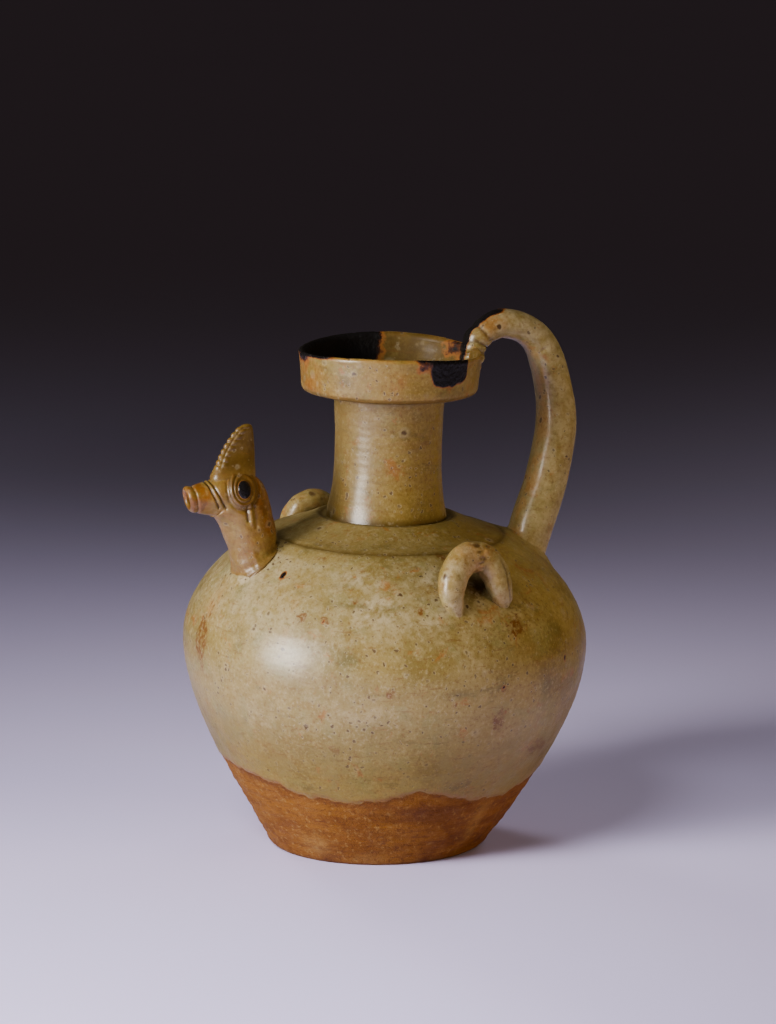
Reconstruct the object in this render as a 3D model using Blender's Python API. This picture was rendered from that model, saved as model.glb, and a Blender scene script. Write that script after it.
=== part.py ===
"""Green-glazed stoneware ewer with a chicken-head spout.

The ewer is one fired piece: a turned body with a neck and a dish mouth, and a
handle, a hollow bird-head spout and two loop lugs luted onto it. It stands on
its flat foot at the origin, +Z up, in metres. The spout points along -X, the
handle is near +X and the two lugs are near -Y and +Y. The whole pot leans a
little from its flat foot, as it came out of the kiln.

Lengths are metres and angles are degrees. Every point is first placed in the
upright pot, as an azimuth about the axis, a radius from it and a height, and
is then leaned by the same rule.
"""

import math

import bmesh
import bpy
from mathutils import Matrix, Vector

# Body
FOOT_RADIUS = 0.0414
FOOT_EDGE = 0.0010
BELLY_RADIUS = 0.0768
BELLY_HEIGHT = 0.0780
LOWER_POWER = 1.40
LOWER_ROUNDING = 0.32
SHOULDER_RISE = 0.0488
SHOULDER_POWER = 1.35
BODY_WALL = 0.0050
FLOOR = 0.0070

# Groove turned in the shoulder, and the ring that the neck stands in
GROOVE_RADIUS = 0.0445
GROOVE_WIDTH = 0.0018
GROOVE_DEPTH = 0.0006
SHOULDER_HOLLOW = 0.0013
RING_RADIUS = 0.0266
RING_HEIGHT = BELLY_HEIGHT + SHOULDER_RISE
RING_WIDTH = 0.0016
RING_DEPTH = 0.0008

# Neck
NECK_FOOT_RADIUS = 0.0231
NECK_RADIUS = 0.0201
NECK_TOP_RADIUS = 0.0212
NECK_LENGTH = 0.0454
NECK_TOP_HEIGHT = RING_HEIGHT + NECK_LENGTH
NECK_WAIST = 0.60
NECK_WALL = 0.0042

# Dish mouth
DISH_FOOT_RADIUS = 0.0328
DISH_RADIUS = 0.0347
DISH_RISE = 0.0019
DISH_DEPTH = 0.0180
RIM_HEIGHT = NECK_TOP_HEIGHT + DISH_DEPTH
DISH_WALL = 0.0030
DISH_FLOOR = 0.0042
RIM_WARP = 0.0009
RIM_WARP_AZIMUTH = -120.0

# Lean of the pot above its flat foot, and the bow of its belly to the same side
LEAN_ANGLE = 1.6
LEAN_AZIMUTH = -30.0
LEAN_START = 0.0150
BELLY_BOW = 0.0007

# Handle: a coil from the shoulder, up and over, and down onto the rim
HANDLE_FOOT_AZIMUTH = -12.0
HANDLE_TOP_AZIMUTH = -4.0
HANDLE_INSET = 0.0204
HANDLE_FOOT_RADIUS = BELLY_RADIUS - HANDLE_INSET
HANDLE_BULGE = 0.0136
HANDLE_REACH = HANDLE_FOOT_RADIUS + HANDLE_BULGE
HANDLE_REACH_DROP = 0.0267
HANDLE_REACH_HEIGHT = RIM_HEIGHT - HANDLE_REACH_DROP
HANDLE_STEP = 0.0131
HANDLE_TOP_RADIUS = DISH_RADIUS + HANDLE_STEP
HANDLE_RISE = 0.0072
HANDLE_LAP = 0.0115
HANDLE_FOOT_THICKNESS = 0.0164
HANDLE_MID_THICKNESS = 0.0146
HANDLE_TOP_THICKNESS = 0.0110
HANDLE_END_THICKNESS = 0.0096
HANDLE_BROADNESS = 1.10
HANDLE_FLARE = 0.0045

# Spout: a hollow neck that bends into the bird's head and beak
SPOUT_AZIMUTH = 178.0
HEAD_AZIMUTH = 171.0
SPOUT_INSET = 0.0206
SPOUT_FOOT_RADIUS = BELLY_RADIUS - SPOUT_INSET
SPOUT_HEIGHT = 0.0530
SPOUT_FLARE = 0.0040
BEAK_LENGTH = 0.0094
BEAK_RADIUS = 0.0047
BEAK_RISE = 0.0002
BEAK_BORE = 0.0052
SPOUT_BORE = 0.0085
BEAK_GROOVE_DEPTH = 0.0006
COMB_THICKNESS = 0.0030
COMB_TEETH = 7
COMB_TOOTH_DEPTH = 0.0009
EYE_RADIUS = 0.0055
EYE_RELIEF = 0.0010

# Lugs: two arched coils on the shoulder
LUG_AZIMUTHS = {"front": -88.0, "back": 88.0}
LUG_SIZES = {"front": 1.0, "back": 0.9}
LUG_INSET = 0.0093
LUG_FOOT_RADIUS = BELLY_RADIUS - LUG_INSET
LUG_HEIGHT = 0.0213
LUG_SPAN = 0.0205
LUG_THICKNESS = 0.0104
LUG_LEAN = 20.0

# How deep a luted part runs into the wall that it is stuck to
BURIED = 0.0024

# Mesh density
BODY_SIDES = 56
COIL_SIDES = 14
HEAD_SIDES = 18

GLAZE = (0.33, 0.27, 0.12, 1.0)


def belly_radius_at(height, foot, belly, belly_height):
    """Lower wall: nearly straight from the foot, then rounding to the belly."""
    climb = max(0.0, min(1.0, height / belly_height))
    return belly - (belly - foot) * (1.0 - climb) ** (LOWER_POWER + LOWER_ROUNDING * climb)


def shoulder_radius_at(height, belly, belly_height, top, top_height):
    """Shoulder: from the belly over to the neck ring, as part of an oval."""
    share = max(0.0, min(1.0, (height - belly_height) / (top_height - belly_height)))
    return top + (belly - top) * (1.0 - share * share) ** (1.0 / SHOULDER_POWER)


def shoulder_height_at(radius):
    """Height of the outer shoulder at a radius from the axis."""
    share = (radius - RING_RADIUS) / (BELLY_RADIUS - RING_RADIUS)
    share = max(0.0, min(1.0, share))
    rise = math.sqrt(1.0 - share ** SHOULDER_POWER)
    band = max(0.0, min(1.0, (radius - RING_RADIUS) / (GROOVE_RADIUS - RING_RADIUS)))
    hollow = SHOULDER_HOLLOW * math.sin(math.pi * band)
    return BELLY_HEIGHT + (RING_HEIGHT - BELLY_HEIGHT) * rise - hollow


def shoulder_slope_at(radius):
    """Angle in degrees that the shoulder climbs toward the axis at a radius."""
    step = 0.0005
    climb = shoulder_height_at(radius - step) - shoulder_height_at(radius + step)
    return math.degrees(math.atan2(climb, 2.0 * step))


def polar(azimuth, radius, height):
    """Point of the upright pot from its azimuth, radius and height."""
    turn = math.radians(azimuth)
    return Vector((radius * math.cos(turn), radius * math.sin(turn), height))


def lean(point):
    """Lean a point of the upright pot, from nothing at the flat foot."""
    ramp = max(0.0, min(1.0, point.z / LEAN_START))
    ramp = ramp * ramp * (3.0 - 2.0 * ramp)
    turn = math.radians(LEAN_AZIMUTH)
    hinge = Vector((-math.sin(turn), math.cos(turn), 0.0))
    leaned = Matrix.Rotation(math.radians(LEAN_ANGLE), 3, hinge) @ point
    bow = BELLY_BOW * math.sin(math.pi * max(0.0, min(1.0, point.z / RING_HEIGHT)))
    return point.lerp(leaned, ramp) + Vector((math.cos(turn), math.sin(turn), 0.0)) * bow


def smooth_path(points, steps):
    """Points along a smooth curve through the given rows of numbers."""
    rows = [Vector(p) for p in points]
    ends = [rows[0] * 2.0 - rows[1]] + rows + [rows[-1] * 2.0 - rows[-2]]
    path = []
    for index in range(steps + 1):
        place = index / steps * (len(rows) - 1)
        part = min(int(place), len(rows) - 2)
        t = place - part
        a, b, c, d = ends[part:part + 4]
        path.append(0.5 * (2.0 * b + (c - a) * t + (2.0 * a - 5.0 * b + 4.0 * c - d) * t ** 2
                           + (3.0 * b - a - 3.0 * c + d) * t ** 3))
    return path


def outer_profile():
    """Radius and height pairs down the outside, from the rim to the foot."""
    rim = DISH_RADIUS
    line = [(rim - 0.0008, RIM_HEIGHT), (rim, RIM_HEIGHT - 0.0010)]
    line += [(DISH_FOOT_RADIUS + 0.0006, NECK_TOP_HEIGHT + DISH_RISE + 0.0030)]
    line += [(DISH_FOOT_RADIUS, NECK_TOP_HEIGHT + DISH_RISE + 0.0008)]
    line += [(DISH_FOOT_RADIUS - 0.0012, NECK_TOP_HEIGHT + DISH_RISE)]
    line += [(NECK_TOP_RADIUS, NECK_TOP_HEIGHT)]
    neck_foot = RING_HEIGHT + 0.0006
    waist = neck_foot + (NECK_TOP_HEIGHT - neck_foot) * NECK_WAIST
    for index in range(1, 8):
        height = NECK_TOP_HEIGHT + (neck_foot - NECK_TOP_HEIGHT) * index / 7
        if height > waist:
            out = (height - waist) / (NECK_TOP_HEIGHT - waist)
            radius = NECK_RADIUS + (NECK_TOP_RADIUS - NECK_RADIUS) * out ** 2.5
        else:
            out = (waist - height) / (waist - neck_foot)
            radius = NECK_RADIUS + (NECK_FOOT_RADIUS - NECK_RADIUS) * out ** 2.5
        line.append((radius, height))
    line += [(RING_RADIUS - RING_WIDTH, RING_HEIGHT - RING_DEPTH + 0.0004)]
    line += [(RING_RADIUS - RING_WIDTH * 0.4, RING_HEIGHT + 0.0002)]
    near, far = GROOVE_RADIUS - GROOVE_WIDTH * 0.5, GROOVE_RADIUS + GROOVE_WIDTH * 0.5
    for radius in (RING_RADIUS, 0.5 * (RING_RADIUS + GROOVE_RADIUS), near):
        line.append((radius, shoulder_height_at(radius)))
    line.append((GROOVE_RADIUS, shoulder_height_at(GROOVE_RADIUS) - GROOVE_DEPTH))
    start = shoulder_height_at(far)
    line.append((far, start))
    for index in range(1, 8):
        share = math.sin(math.radians(90.0 * (1.0 - index / 7)))
        height = BELLY_HEIGHT + (start - BELLY_HEIGHT) * share
        radius = shoulder_radius_at(height, BELLY_RADIUS, BELLY_HEIGHT, RING_RADIUS, RING_HEIGHT)
        line.append((radius, height))
    for index in range(1, 8):
        height = BELLY_HEIGHT + (FOOT_EDGE - BELLY_HEIGHT) * index / 7
        line.append((belly_radius_at(height, FOOT_RADIUS, BELLY_RADIUS, BELLY_HEIGHT), height))
    line += [(FOOT_RADIUS - FOOT_EDGE, 0.0), (0.0, 0.0)]
    return line


def inner_profile():
    """Radius and height pairs up the inside, from the floor to the rim."""
    belly = BELLY_RADIUS - BODY_WALL
    foot = FOOT_RADIUS - BODY_WALL
    bore = NECK_RADIUS - NECK_WALL
    ceiling = RING_HEIGHT - BODY_WALL
    line = [(0.0, FLOOR), (foot * 0.9, FLOOR)]
    for index in range(1, 6):
        height = FLOOR + (BELLY_HEIGHT - FLOOR) * index / 5
        line.append((belly_radius_at(height, foot, belly, BELLY_HEIGHT), height))
    for index in range(1, 7):
        height = BELLY_HEIGHT + (ceiling - BELLY_HEIGHT) * math.sin(math.radians(90.0 * index / 6))
        line.append((shoulder_radius_at(height, belly, BELLY_HEIGHT, bore + 0.0020, ceiling), height))
    line += [(bore, ceiling + 0.0030), (bore, NECK_TOP_HEIGHT - 0.0020)]
    line += [(bore + 0.0016, NECK_TOP_HEIGHT + DISH_FLOOR * 0.5)]
    floor_edge = DISH_FOOT_RADIUS - DISH_WALL - 0.0020
    line += [(floor_edge, NECK_TOP_HEIGHT + DISH_RISE + DISH_FLOOR)]
    line += [(DISH_FOOT_RADIUS - DISH_WALL, NECK_TOP_HEIGHT + DISH_RISE + DISH_FLOOR + 0.0020)]
    line += [(DISH_RADIUS - DISH_WALL, RIM_HEIGHT - 0.0010), (DISH_RADIUS - DISH_WALL + 0.0008, RIM_HEIGHT)]
    return line


def warp_rim(point):
    """Let the dish sag between two high sides, nothing at its foot, most at its rim."""
    share = (point.z - NECK_TOP_HEIGHT) / (RIM_HEIGHT - NECK_TOP_HEIGHT)
    if share <= 0.0:
        return point
    azimuth = math.degrees(math.atan2(point.y, point.x))
    wave = math.cos(2.0 * math.radians(azimuth - RIM_WARP_AZIMUTH))
    return Vector((point.x, point.y, point.z + RIM_WARP * min(1.0, share) * wave))


def finish_mesh(name, bm):
    """Turn a bmesh into a smooth-shaded object of the given name."""
    bmesh.ops.recalc_face_normals(bm, faces=bm.faces)
    mesh = bpy.data.meshes.new(name)
    bm.to_mesh(mesh)
    bm.free()
    mesh.shade_smooth()
    mesh.set_sharp_from_angle(angle=math.radians(50.0))
    item = bpy.data.objects.new(name, mesh)
    bpy.context.scene.collection.objects.link(item)
    return item


def turned_body():
    """The thrown pot: one closed wall, outside and inside, spun about the axis."""
    bm = bmesh.new()
    outline = outer_profile() + inner_profile()
    verts = [bm.verts.new((radius, 0.0, height)) for radius, height in outline]
    edges = []
    for near, far in zip(verts, verts[1:] + verts[:1]):
        if near.co.x + far.co.x > 0.0:
            edges.append(bm.edges.new((near, far)))
    bmesh.ops.spin(bm, geom=verts + edges, cent=(0, 0, 0), axis=(0, 0, 1), dvec=(0, 0, 0),
                   angle=math.tau, steps=BODY_SIDES, use_merge=True, use_duplicate=False)
    bmesh.ops.remove_doubles(bm, verts=bm.verts, dist=1e-6)
    for vert in bm.verts:
        vert.co = lean(warp_rim(vert.co))
    return finish_mesh("ewer", bm)


def skinned(name, rings):
    """Closed skin over a run of rings, with a flat cap at each end."""
    bm = bmesh.new()
    loops = [[bm.verts.new(lean(point)) for point in ring] for ring in rings]
    for near, far in zip(loops, loops[1:]):
        for index in range(len(near)):
            after = (index + 1) % len(near)
            bm.faces.new((near[index], near[after], far[after], far[index]))
    bm.faces.new(loops[0])
    bm.faces.new(loops[-1])
    return finish_mesh(name, bm)


def oval(centre, across, along, sides, power=2.2):
    """Ring of points: a slightly squared oval about a centre with two half axes."""
    ring = []
    for index in range(sides):
        turn = math.tau * index / sides
        c, s = math.cos(turn), math.sin(turn)
        u = math.copysign(abs(c) ** (2.0 / power), c)
        v = math.copysign(abs(s) ** (2.0 / power), s)
        ring.append(centre + across * u + along * v)
    return ring


def flare_at(distance, flare):
    """Extra half width of a luted foot at a distance above the wall."""
    share = max(0.0, min(1.0, 1.0 - distance / flare))
    return flare * (1.0 - math.sqrt(1.0 - share * share))


def settled(ring, foot_radius, above, flare):
    """Bend the foot of a luted part so that its ring follows the round shoulder."""
    hold = max(0.0, min(1.0, 1.0 - above / (2.0 * flare)))
    foot_height = shoulder_height_at(foot_radius)
    fall = math.tan(math.radians(shoulder_slope_at(foot_radius)))
    for point in ring:
        radius = math.hypot(point.x, point.y)
        flat = foot_height - fall * (radius - foot_radius)
        point.z += hold * (shoulder_height_at(radius) - flat)
    return ring


def radial_axes(azimuth, tilt):
    """Ring axes in the plane of an azimuth: outward tilted down, and sideways."""
    turn = math.radians(azimuth)
    out = Vector((math.cos(turn), math.sin(turn), 0.0))
    side = Vector((-math.sin(turn), math.cos(turn), 0.0))
    down = math.radians(tilt)
    return out * math.cos(down) - Vector((0, 0, 1)) * math.sin(down), side


def handle_stations():
    """Radius, height, half thickness and azimuth of the handle, end to foot."""
    foot_height = shoulder_height_at(HANDLE_FOOT_RADIUS)
    end, top = 0.5 * HANDLE_END_THICKNESS, 0.5 * HANDLE_TOP_THICKNESS
    mid, foot = 0.5 * HANDLE_MID_THICKNESS, 0.5 * HANDLE_FOOT_THICKNESS
    low, high = HANDLE_FOOT_AZIMUTH, HANDLE_TOP_AZIMUTH
    drop = HANDLE_REACH_HEIGHT - foot_height
    draw = HANDLE_REACH - HANDLE_FOOT_RADIUS
    over = HANDLE_REACH - HANDLE_TOP_RADIUS
    rise = RIM_HEIGHT + HANDLE_RISE - HANDLE_REACH_HEIGHT
    return [
        (DISH_RADIUS - 0.0010, RIM_HEIGHT - HANDLE_LAP, end * 0.45, high),
        (DISH_RADIUS - 0.0004, RIM_HEIGHT - HANDLE_LAP * 0.45, end * 0.80, high),
        (DISH_RADIUS + 0.0020, RIM_HEIGHT + HANDLE_RISE * 0.30, end, high),
        (HANDLE_TOP_RADIUS, RIM_HEIGHT + HANDLE_RISE, top, high),
        (HANDLE_TOP_RADIUS + over * 0.70, HANDLE_REACH_HEIGHT + rise * 0.76, top * 1.10, high),
        (HANDLE_REACH, HANDLE_REACH_HEIGHT, mid, high * 0.7 + low * 0.3),
        (HANDLE_REACH - draw * 0.32, foot_height + drop * 0.52, foot * 0.97, high * 0.35 + low * 0.65),
        (HANDLE_FOOT_RADIUS + draw * 0.10, foot_height + drop * 0.10, foot, low),
        (HANDLE_FOOT_RADIUS - 0.0006, foot_height - BURIED, foot, low),
    ]


def handle():
    """The coil handle, swept along its path and flared into the shoulder."""
    path = smooth_path(handle_stations(), 30)
    slope = shoulder_slope_at(HANDLE_FOOT_RADIUS)
    foot_height = shoulder_height_at(HANDLE_FOOT_RADIUS)
    rings = []
    for index, (radius, height, half, azimuth) in enumerate(path):
        before, after = path[max(index - 1, 0)], path[min(index + 1, len(path) - 1)]
        heading = math.degrees(math.atan2(after[1] - before[1], after[0] - before[0]))
        above = height - foot_height
        near_foot = max(0.0, min(1.0, 1.0 - above / (3.0 * HANDLE_FLARE)))
        tilt = (-90.0 - heading) * (1.0 - near_foot) + slope * near_foot
        across, side = radial_axes(azimuth, tilt)
        grow = flare_at(max(above, 0.0), HANDLE_FLARE)
        centre = polar(azimuth, radius - 0.5 * grow, height)
        wide = side * (half * HANDLE_BROADNESS + grow)
        ring = oval(centre, across * (half + 0.5 * grow), wide, COIL_SIDES)
        rings.append(settled(ring, HANDLE_FOOT_RADIUS, above, HANDLE_FLARE))
    return skinned("handle", rings)


def spout_point(out, height):
    """Point in the bird's own upright plane, which is turned a little on the pot."""
    return polar(SPOUT_AZIMUTH, SPOUT_FOOT_RADIUS, height) + polar(HEAD_AZIMUTH, out, 0.0)


def spout_stations():
    """Reach, height, tilt and two half widths along the bird's neck and head.

    Places and widths are shares of the spout's own height, measured from its
    foot on the shoulder. The tilt is how far each ring leans from level.
    """
    size = SPOUT_HEIGHT
    foot = shoulder_height_at(SPOUT_FOOT_RADIUS)
    slope = shoulder_slope_at(SPOUT_FOOT_RADIUS)
    shares = [
        (0.000, -BURIED / size, slope, 0.182, 0.182),
        (0.000, 0.020, slope, 0.182, 0.182),
        (0.004, 0.070, slope * 0.8, 0.182, 0.184),
        (0.011, 0.145, slope * 0.6, 0.183, 0.184),
        (0.032, 0.215, 17.0, 0.186, 0.178),
        (0.057, 0.285, 14.0, 0.190, 0.172),
        (0.090, 0.370, 20.0, 0.202, 0.165),
        (0.138, 0.446, 32.0, 0.215, 0.164),
        (0.202, 0.492, 56.0, 0.195, 0.150),
        (0.267, 0.482, 74.0, 0.166, 0.134),
        (0.322, 0.462, 86.0, 0.144, 0.120),
    ]
    return [(x * size, foot + z * size, tilt, a * size, b * size) for x, z, tilt, a, b in shares]


def beak_stations():
    """Rings along the beak: an incised groove at its root, a tube and a lip."""
    root = spout_stations()[-1]
    rows = [(0.06, 1.42, 0.0), (0.11, 1.38, BEAK_GROOVE_DEPTH), (0.16, 1.36, 0.0), (0.36, 1.22, 0.0)]
    rows += [(0.78, 1.04, 0.0), (0.90, 1.08, 0.0), (1.0, 1.0, 0.0)]
    stations = []
    for share, swell, cut_in in rows:
        half = BEAK_RADIUS * swell - cut_in
        out, height = root[0] + BEAK_LENGTH * share, root[1] + BEAK_RISE * share
        stations.append((out, height, 90.0, half, half * 0.97))
    return stations


def spout():
    """Neck, head and beak of the bird as one outer skin."""
    foot_height = shoulder_height_at(SPOUT_FOOT_RADIUS)
    rings = []
    for out, height, tilt, half_long, half_wide in spout_stations() + beak_stations():
        across, side = radial_axes(HEAD_AZIMUTH, tilt)
        above = height - foot_height
        grow = flare_at(max(above, 0.0), SPOUT_FLARE)
        along, wide = across * (half_long + grow), side * (half_wide + grow)
        ring = oval(spout_point(out, height), along, wide, HEAD_SIDES, 2.0)
        rings.append(settled(ring, SPOUT_FOOT_RADIUS, above, SPOUT_FLARE))
    return skinned("spout", rings)


def spout_bore():
    """Cutter for the way through: along the beak, through the head, down the neck."""
    foot_height = shoulder_height_at(SPOUT_FOOT_RADIUS)
    root = spout_stations()[-1]
    tip = root[0] + BEAK_LENGTH
    head = spout_stations()[7]
    rows = [(tip + 0.0020, root[1] + BEAK_RISE, 90.0, BEAK_BORE), (root[0], root[1], 88.0, BEAK_BORE)]
    rows += [(head[0] + 0.0040, head[1] + 0.0020, 62.0, 0.5 * (BEAK_BORE + SPOUT_BORE))]
    rows += [(head[0] - 0.0020, head[1] - 0.0050, 24.0, SPOUT_BORE)]
    rows += [(0.0010, foot_height + 0.0040, 10.0, SPOUT_BORE)]
    rows += [(-0.0006, foot_height - BODY_WALL * 1.8, 10.0, SPOUT_BORE)]
    rings = []
    for out, height, tilt, bore in rows:
        across, side = radial_axes(HEAD_AZIMUTH, tilt)
        rings.append(oval(spout_point(out, height), across * bore * 0.5, side * bore * 0.5, 12, 2.0))
    return skinned("spout_bore", rings)


def comb():
    """The upright comb: a thin fin with a toothed front edge, thick where it joins."""
    size = SPOUT_HEIGHT
    foot_height = shoulder_height_at(SPOUT_FOOT_RADIUS)
    rows = [(0.55, 0.000, 0.304, 3.0), (0.62, -0.004, 0.327, 3.2), (0.69, 0.002, 0.300, 2.2)]
    rows += [(0.77, 0.005, 0.267, 1.35), (0.85, 0.010, 0.221, 1.08), (0.925, 0.018, 0.166, 0.95)]
    rows += [(0.975, 0.041, 0.101, 0.62)]
    steps = 2 * COMB_TEETH + 4
    rings = []
    for index, (level, back, front, thick) in enumerate(smooth_path(rows, steps)):
        tooth = COMB_TOOTH_DEPTH if index % 2 else 0.0
        if index < 3 or index == steps:
            tooth = 0.0
        near = back * size
        far = front * size - tooth
        across, side = radial_axes(HEAD_AZIMUTH, 6.0)
        centre = spout_point(0.5 * (near + far), foot_height + level * size)
        wide = side * 0.5 * thick * COMB_THICKNESS
        rings.append(oval(centre, across * 0.5 * (far - near), wide, 12, 2.4))
    return skinned("comb", rings)


def eye(name, hand):
    """Raised round eye: an outer rim, a hollow ring and a domed pupil."""
    head = spout_stations()[7]
    outward = head[4] * 0.86
    turn = math.radians(HEAD_AZIMUTH)
    side = Vector((-math.sin(turn), math.cos(turn), 0.0)) * hand
    centre = spout_point(head[0] - 0.0012, head[1] + 0.0040)
    out = (side + Vector((0, 0, 0.10))).normalized()
    across = Vector((math.cos(turn), math.sin(turn), 0.0))
    along = out.cross(across).normalized()
    rows = [(0.80, -3.0), (1.0, 0.0), (0.92, 0.9), (0.76, 1.0), (0.60, 0.45)]
    rows += [(0.46, 0.55), (0.36, 1.1), (0.16, 1.4)]
    rings = []
    for share, relief in rows:
        middle = centre + out * (outward + relief * EYE_RELIEF)
        rings.append(oval(middle, across * EYE_RADIUS * share, along * EYE_RADIUS * share, 14, 2.0))
    return skinned(name, rings)


def lug(name, azimuth, size):
    """Arched coil with both tips drawn out and pressed down into the shoulder."""
    span, rise, half = 0.5 * LUG_SPAN * size, LUG_HEIGHT * size, 0.5 * LUG_THICKNESS * size
    rows = [(-1.17, -0.08, 0.28, 0.34), (-1.19, 0.16, 0.72, 0.12), (-1.13, 0.46, 1.0, 0.0)]
    rows += [(-0.86, 0.74, 1.06, 0.0), (-0.42, 0.93, 1.10, 0.0), (0.06, 0.975, 1.12, 0.0)]
    rows += [(0.50, 0.88, 1.08, 0.0), (0.76, 0.64, 0.98, 0.0), (0.84, 0.40, 0.86, 0.0)]
    rows += [(0.98, 0.16, 0.66, 0.12), (1.14, -0.06, 0.28, 0.34)]
    turn = math.radians(azimuth)
    sideways = Vector((-math.sin(turn), math.cos(turn), 0.0))
    outward = Vector((math.cos(turn), math.sin(turn), 0.0))
    lean_in = math.radians(LUG_LEAN)
    upward = Vector((0, 0, 1)) * math.cos(lean_in) - outward * math.sin(lean_in)
    level = upward.cross(sideways)
    foot = polar(azimuth, LUG_FOOT_RADIUS, shoulder_height_at(LUG_FOOT_RADIUS))
    path = smooth_path(rows, 20)
    rings = []
    for index, (along, up, thick, sink) in enumerate(path):
        before, after = path[max(index - 1, 0)], path[min(index + 1, len(path) - 1)]
        heading = Vector(((after[0] - before[0]) * span, (after[1] - before[1]) * rise)).normalized()
        across = sideways * -heading.y + upward * heading.x
        centre = foot + sideways * along * span + upward * up * rise - outward * sink * 2.0 * half
        rings.append(oval(centre, across * thick * half, level * thick * half * 0.95, COIL_SIDES - 2))
    return skinned(name, rings)


def combine(target, tool, operation):
    """Join or cut with a helper solid, which stays in the file as a guide."""
    step = target.modifiers.new(tool.name, "BOOLEAN")
    step.operation = operation
    step.solver = "EXACT"
    step.object = tool
    tool.hide_render = True
    tool.display_type = "WIRE"


def glaze_material():
    """Plain olive glaze colour for the solid."""
    material = bpy.data.materials.new("glaze")
    material.use_nodes = True
    shader = material.node_tree.nodes["Principled BSDF"]
    shader.inputs["Base Color"].default_value = GLAZE
    shader.inputs["Roughness"].default_value = 0.35
    shader.inputs["Metallic"].default_value = 0.0
    return material


def build():
    """Make the pot and everything luted onto it as one solid."""
    for item in list(bpy.data.objects):
        bpy.data.objects.remove(item, do_unlink=True)
    ewer = turned_body()
    ewer.data.materials.append(glaze_material())
    luted = [handle(), spout(), comb(), eye("eye_left", 1.0), eye("eye_right", -1.0)]
    luted += [lug("lug_" + side, azimuth, LUG_SIZES[side]) for side, azimuth in LUG_AZIMUTHS.items()]
    for item in luted:
        combine(ewer, item, "UNION")
    combine(ewer, spout_bore(), "DIFFERENCE")


build()
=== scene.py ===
"""Looks of the green-glazed stoneware ewer with a chicken-head spout.

The ewer's pieces are surfaces worked out as whole arrays: the turned body, the
neck with its dish, and the handle, bird-head spout, comb and two lugs that are
luted on. Places are first given in the upright pot, as an azimuth about the
axis, a radius and a height, and are then leaned as the solid is. Lengths are
metres and angles are degrees, unless a name or a comment says otherwise.
"""

import math

import bpy
import numpy as np
from mathutils import Matrix, Vector


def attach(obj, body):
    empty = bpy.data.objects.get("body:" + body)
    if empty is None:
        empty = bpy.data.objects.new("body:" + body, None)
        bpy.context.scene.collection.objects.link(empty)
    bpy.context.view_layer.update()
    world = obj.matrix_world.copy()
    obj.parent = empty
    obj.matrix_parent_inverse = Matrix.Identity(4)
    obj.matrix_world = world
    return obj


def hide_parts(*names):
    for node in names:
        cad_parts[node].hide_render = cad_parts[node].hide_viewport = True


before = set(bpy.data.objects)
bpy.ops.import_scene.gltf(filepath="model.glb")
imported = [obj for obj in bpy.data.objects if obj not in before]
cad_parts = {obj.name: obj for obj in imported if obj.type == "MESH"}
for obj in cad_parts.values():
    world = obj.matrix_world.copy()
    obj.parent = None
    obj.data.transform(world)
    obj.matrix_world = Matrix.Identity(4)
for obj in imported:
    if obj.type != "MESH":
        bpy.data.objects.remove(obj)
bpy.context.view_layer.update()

MM = 0.001
UP = np.array([0.0, 0.0, 1.0])

# Body
FOOT_RADIUS = 0.0414
FOOT_EDGE = 0.0010
UNDER_HOLLOW = 0.0005
BELLY_RADIUS = 0.0768
BELLY_HEIGHT = 0.0780
LOWER_POWER = 1.40
LOWER_ROUNDING = 0.32
SHOULDER_RISE = 0.0488
SHOULDER_POWER = 1.35
SHOULDER_HOLLOW = 0.0013
BODY_WALL = 0.0050
FLOOR = 0.0070
GROOVE_RADIUS = 0.0445
GROOVE_WIDTH = 0.0008
GROOVE_DEPTH = 0.0006
RING_RADIUS = 0.0266
RING_HEIGHT = BELLY_HEIGHT + SHOULDER_RISE
RING_WIDTH = 0.0016
RING_DEPTH = 0.0008

# Neck and dish
NECK_FOOT_RADIUS = 0.0231
NECK_RADIUS = 0.0201
NECK_TOP_RADIUS = 0.0212
NECK_TOP_HEIGHT = RING_HEIGHT + 0.0454
NECK_WAIST = 0.60
NECK_WALL = 0.0042
BORE_RADIUS = NECK_RADIUS - NECK_WALL
DISH_FOOT_RADIUS = 0.0328
DISH_RADIUS = 0.0347
DISH_RISE = 0.0019
RIM_HEIGHT = NECK_TOP_HEIGHT + 0.0180
DISH_WALL = 0.0030
DISH_FLOOR = 0.0042
RIM_WARP = 0.0009
RIM_WARP_AZIMUTH = -120.0

# Lean of the pot above its foot
LEAN_ANGLE = 1.6
LEAN_AZIMUTH = -30.0
LEAN_START = 0.0150
BELLY_BOW = 0.0007

# Handle
HANDLE_FOOT_AZIMUTH = -12.0
HANDLE_TOP_AZIMUTH = -4.0
HANDLE_FOOT_RADIUS = 0.0564
HANDLE_REACH = 0.0700
HANDLE_REACH_HEIGHT = 0.1635
HANDLE_TOP_RADIUS = 0.0478
HANDLE_RISE = 0.0072
HANDLE_LAP = 0.0115
HANDLE_BROADNESS = 1.10
HANDLE_FLARE = 0.0045

# Spout and bird's head. The eye's reach and height from the spout's foot and the
# pitches of its coiled line and of the comb's beads are in millimetres
SPOUT_AZIMUTH = 178.0
HEAD_AZIMUTH = 171.0
SPOUT_FOOT_RADIUS = 0.0562
SPOUT_HEIGHT = 0.0530
SPOUT_FLARE = 0.0042
BEAK_LENGTH = 0.0094
BEAK_RADIUS = 0.0047
EYE = (6.6, 28.4)
COIL_PITCH = 1.35
COMB_TILT = 6.0
BEAD_PITCH = 2.05

# Lugs
LUG_FOOT_RADIUS = 0.0675
LUG_HEIGHT = 0.0213
LUG_SPAN = 0.0205
LUG_THICKNESS = 0.0104
LUG_LEAN = 20.0

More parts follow.
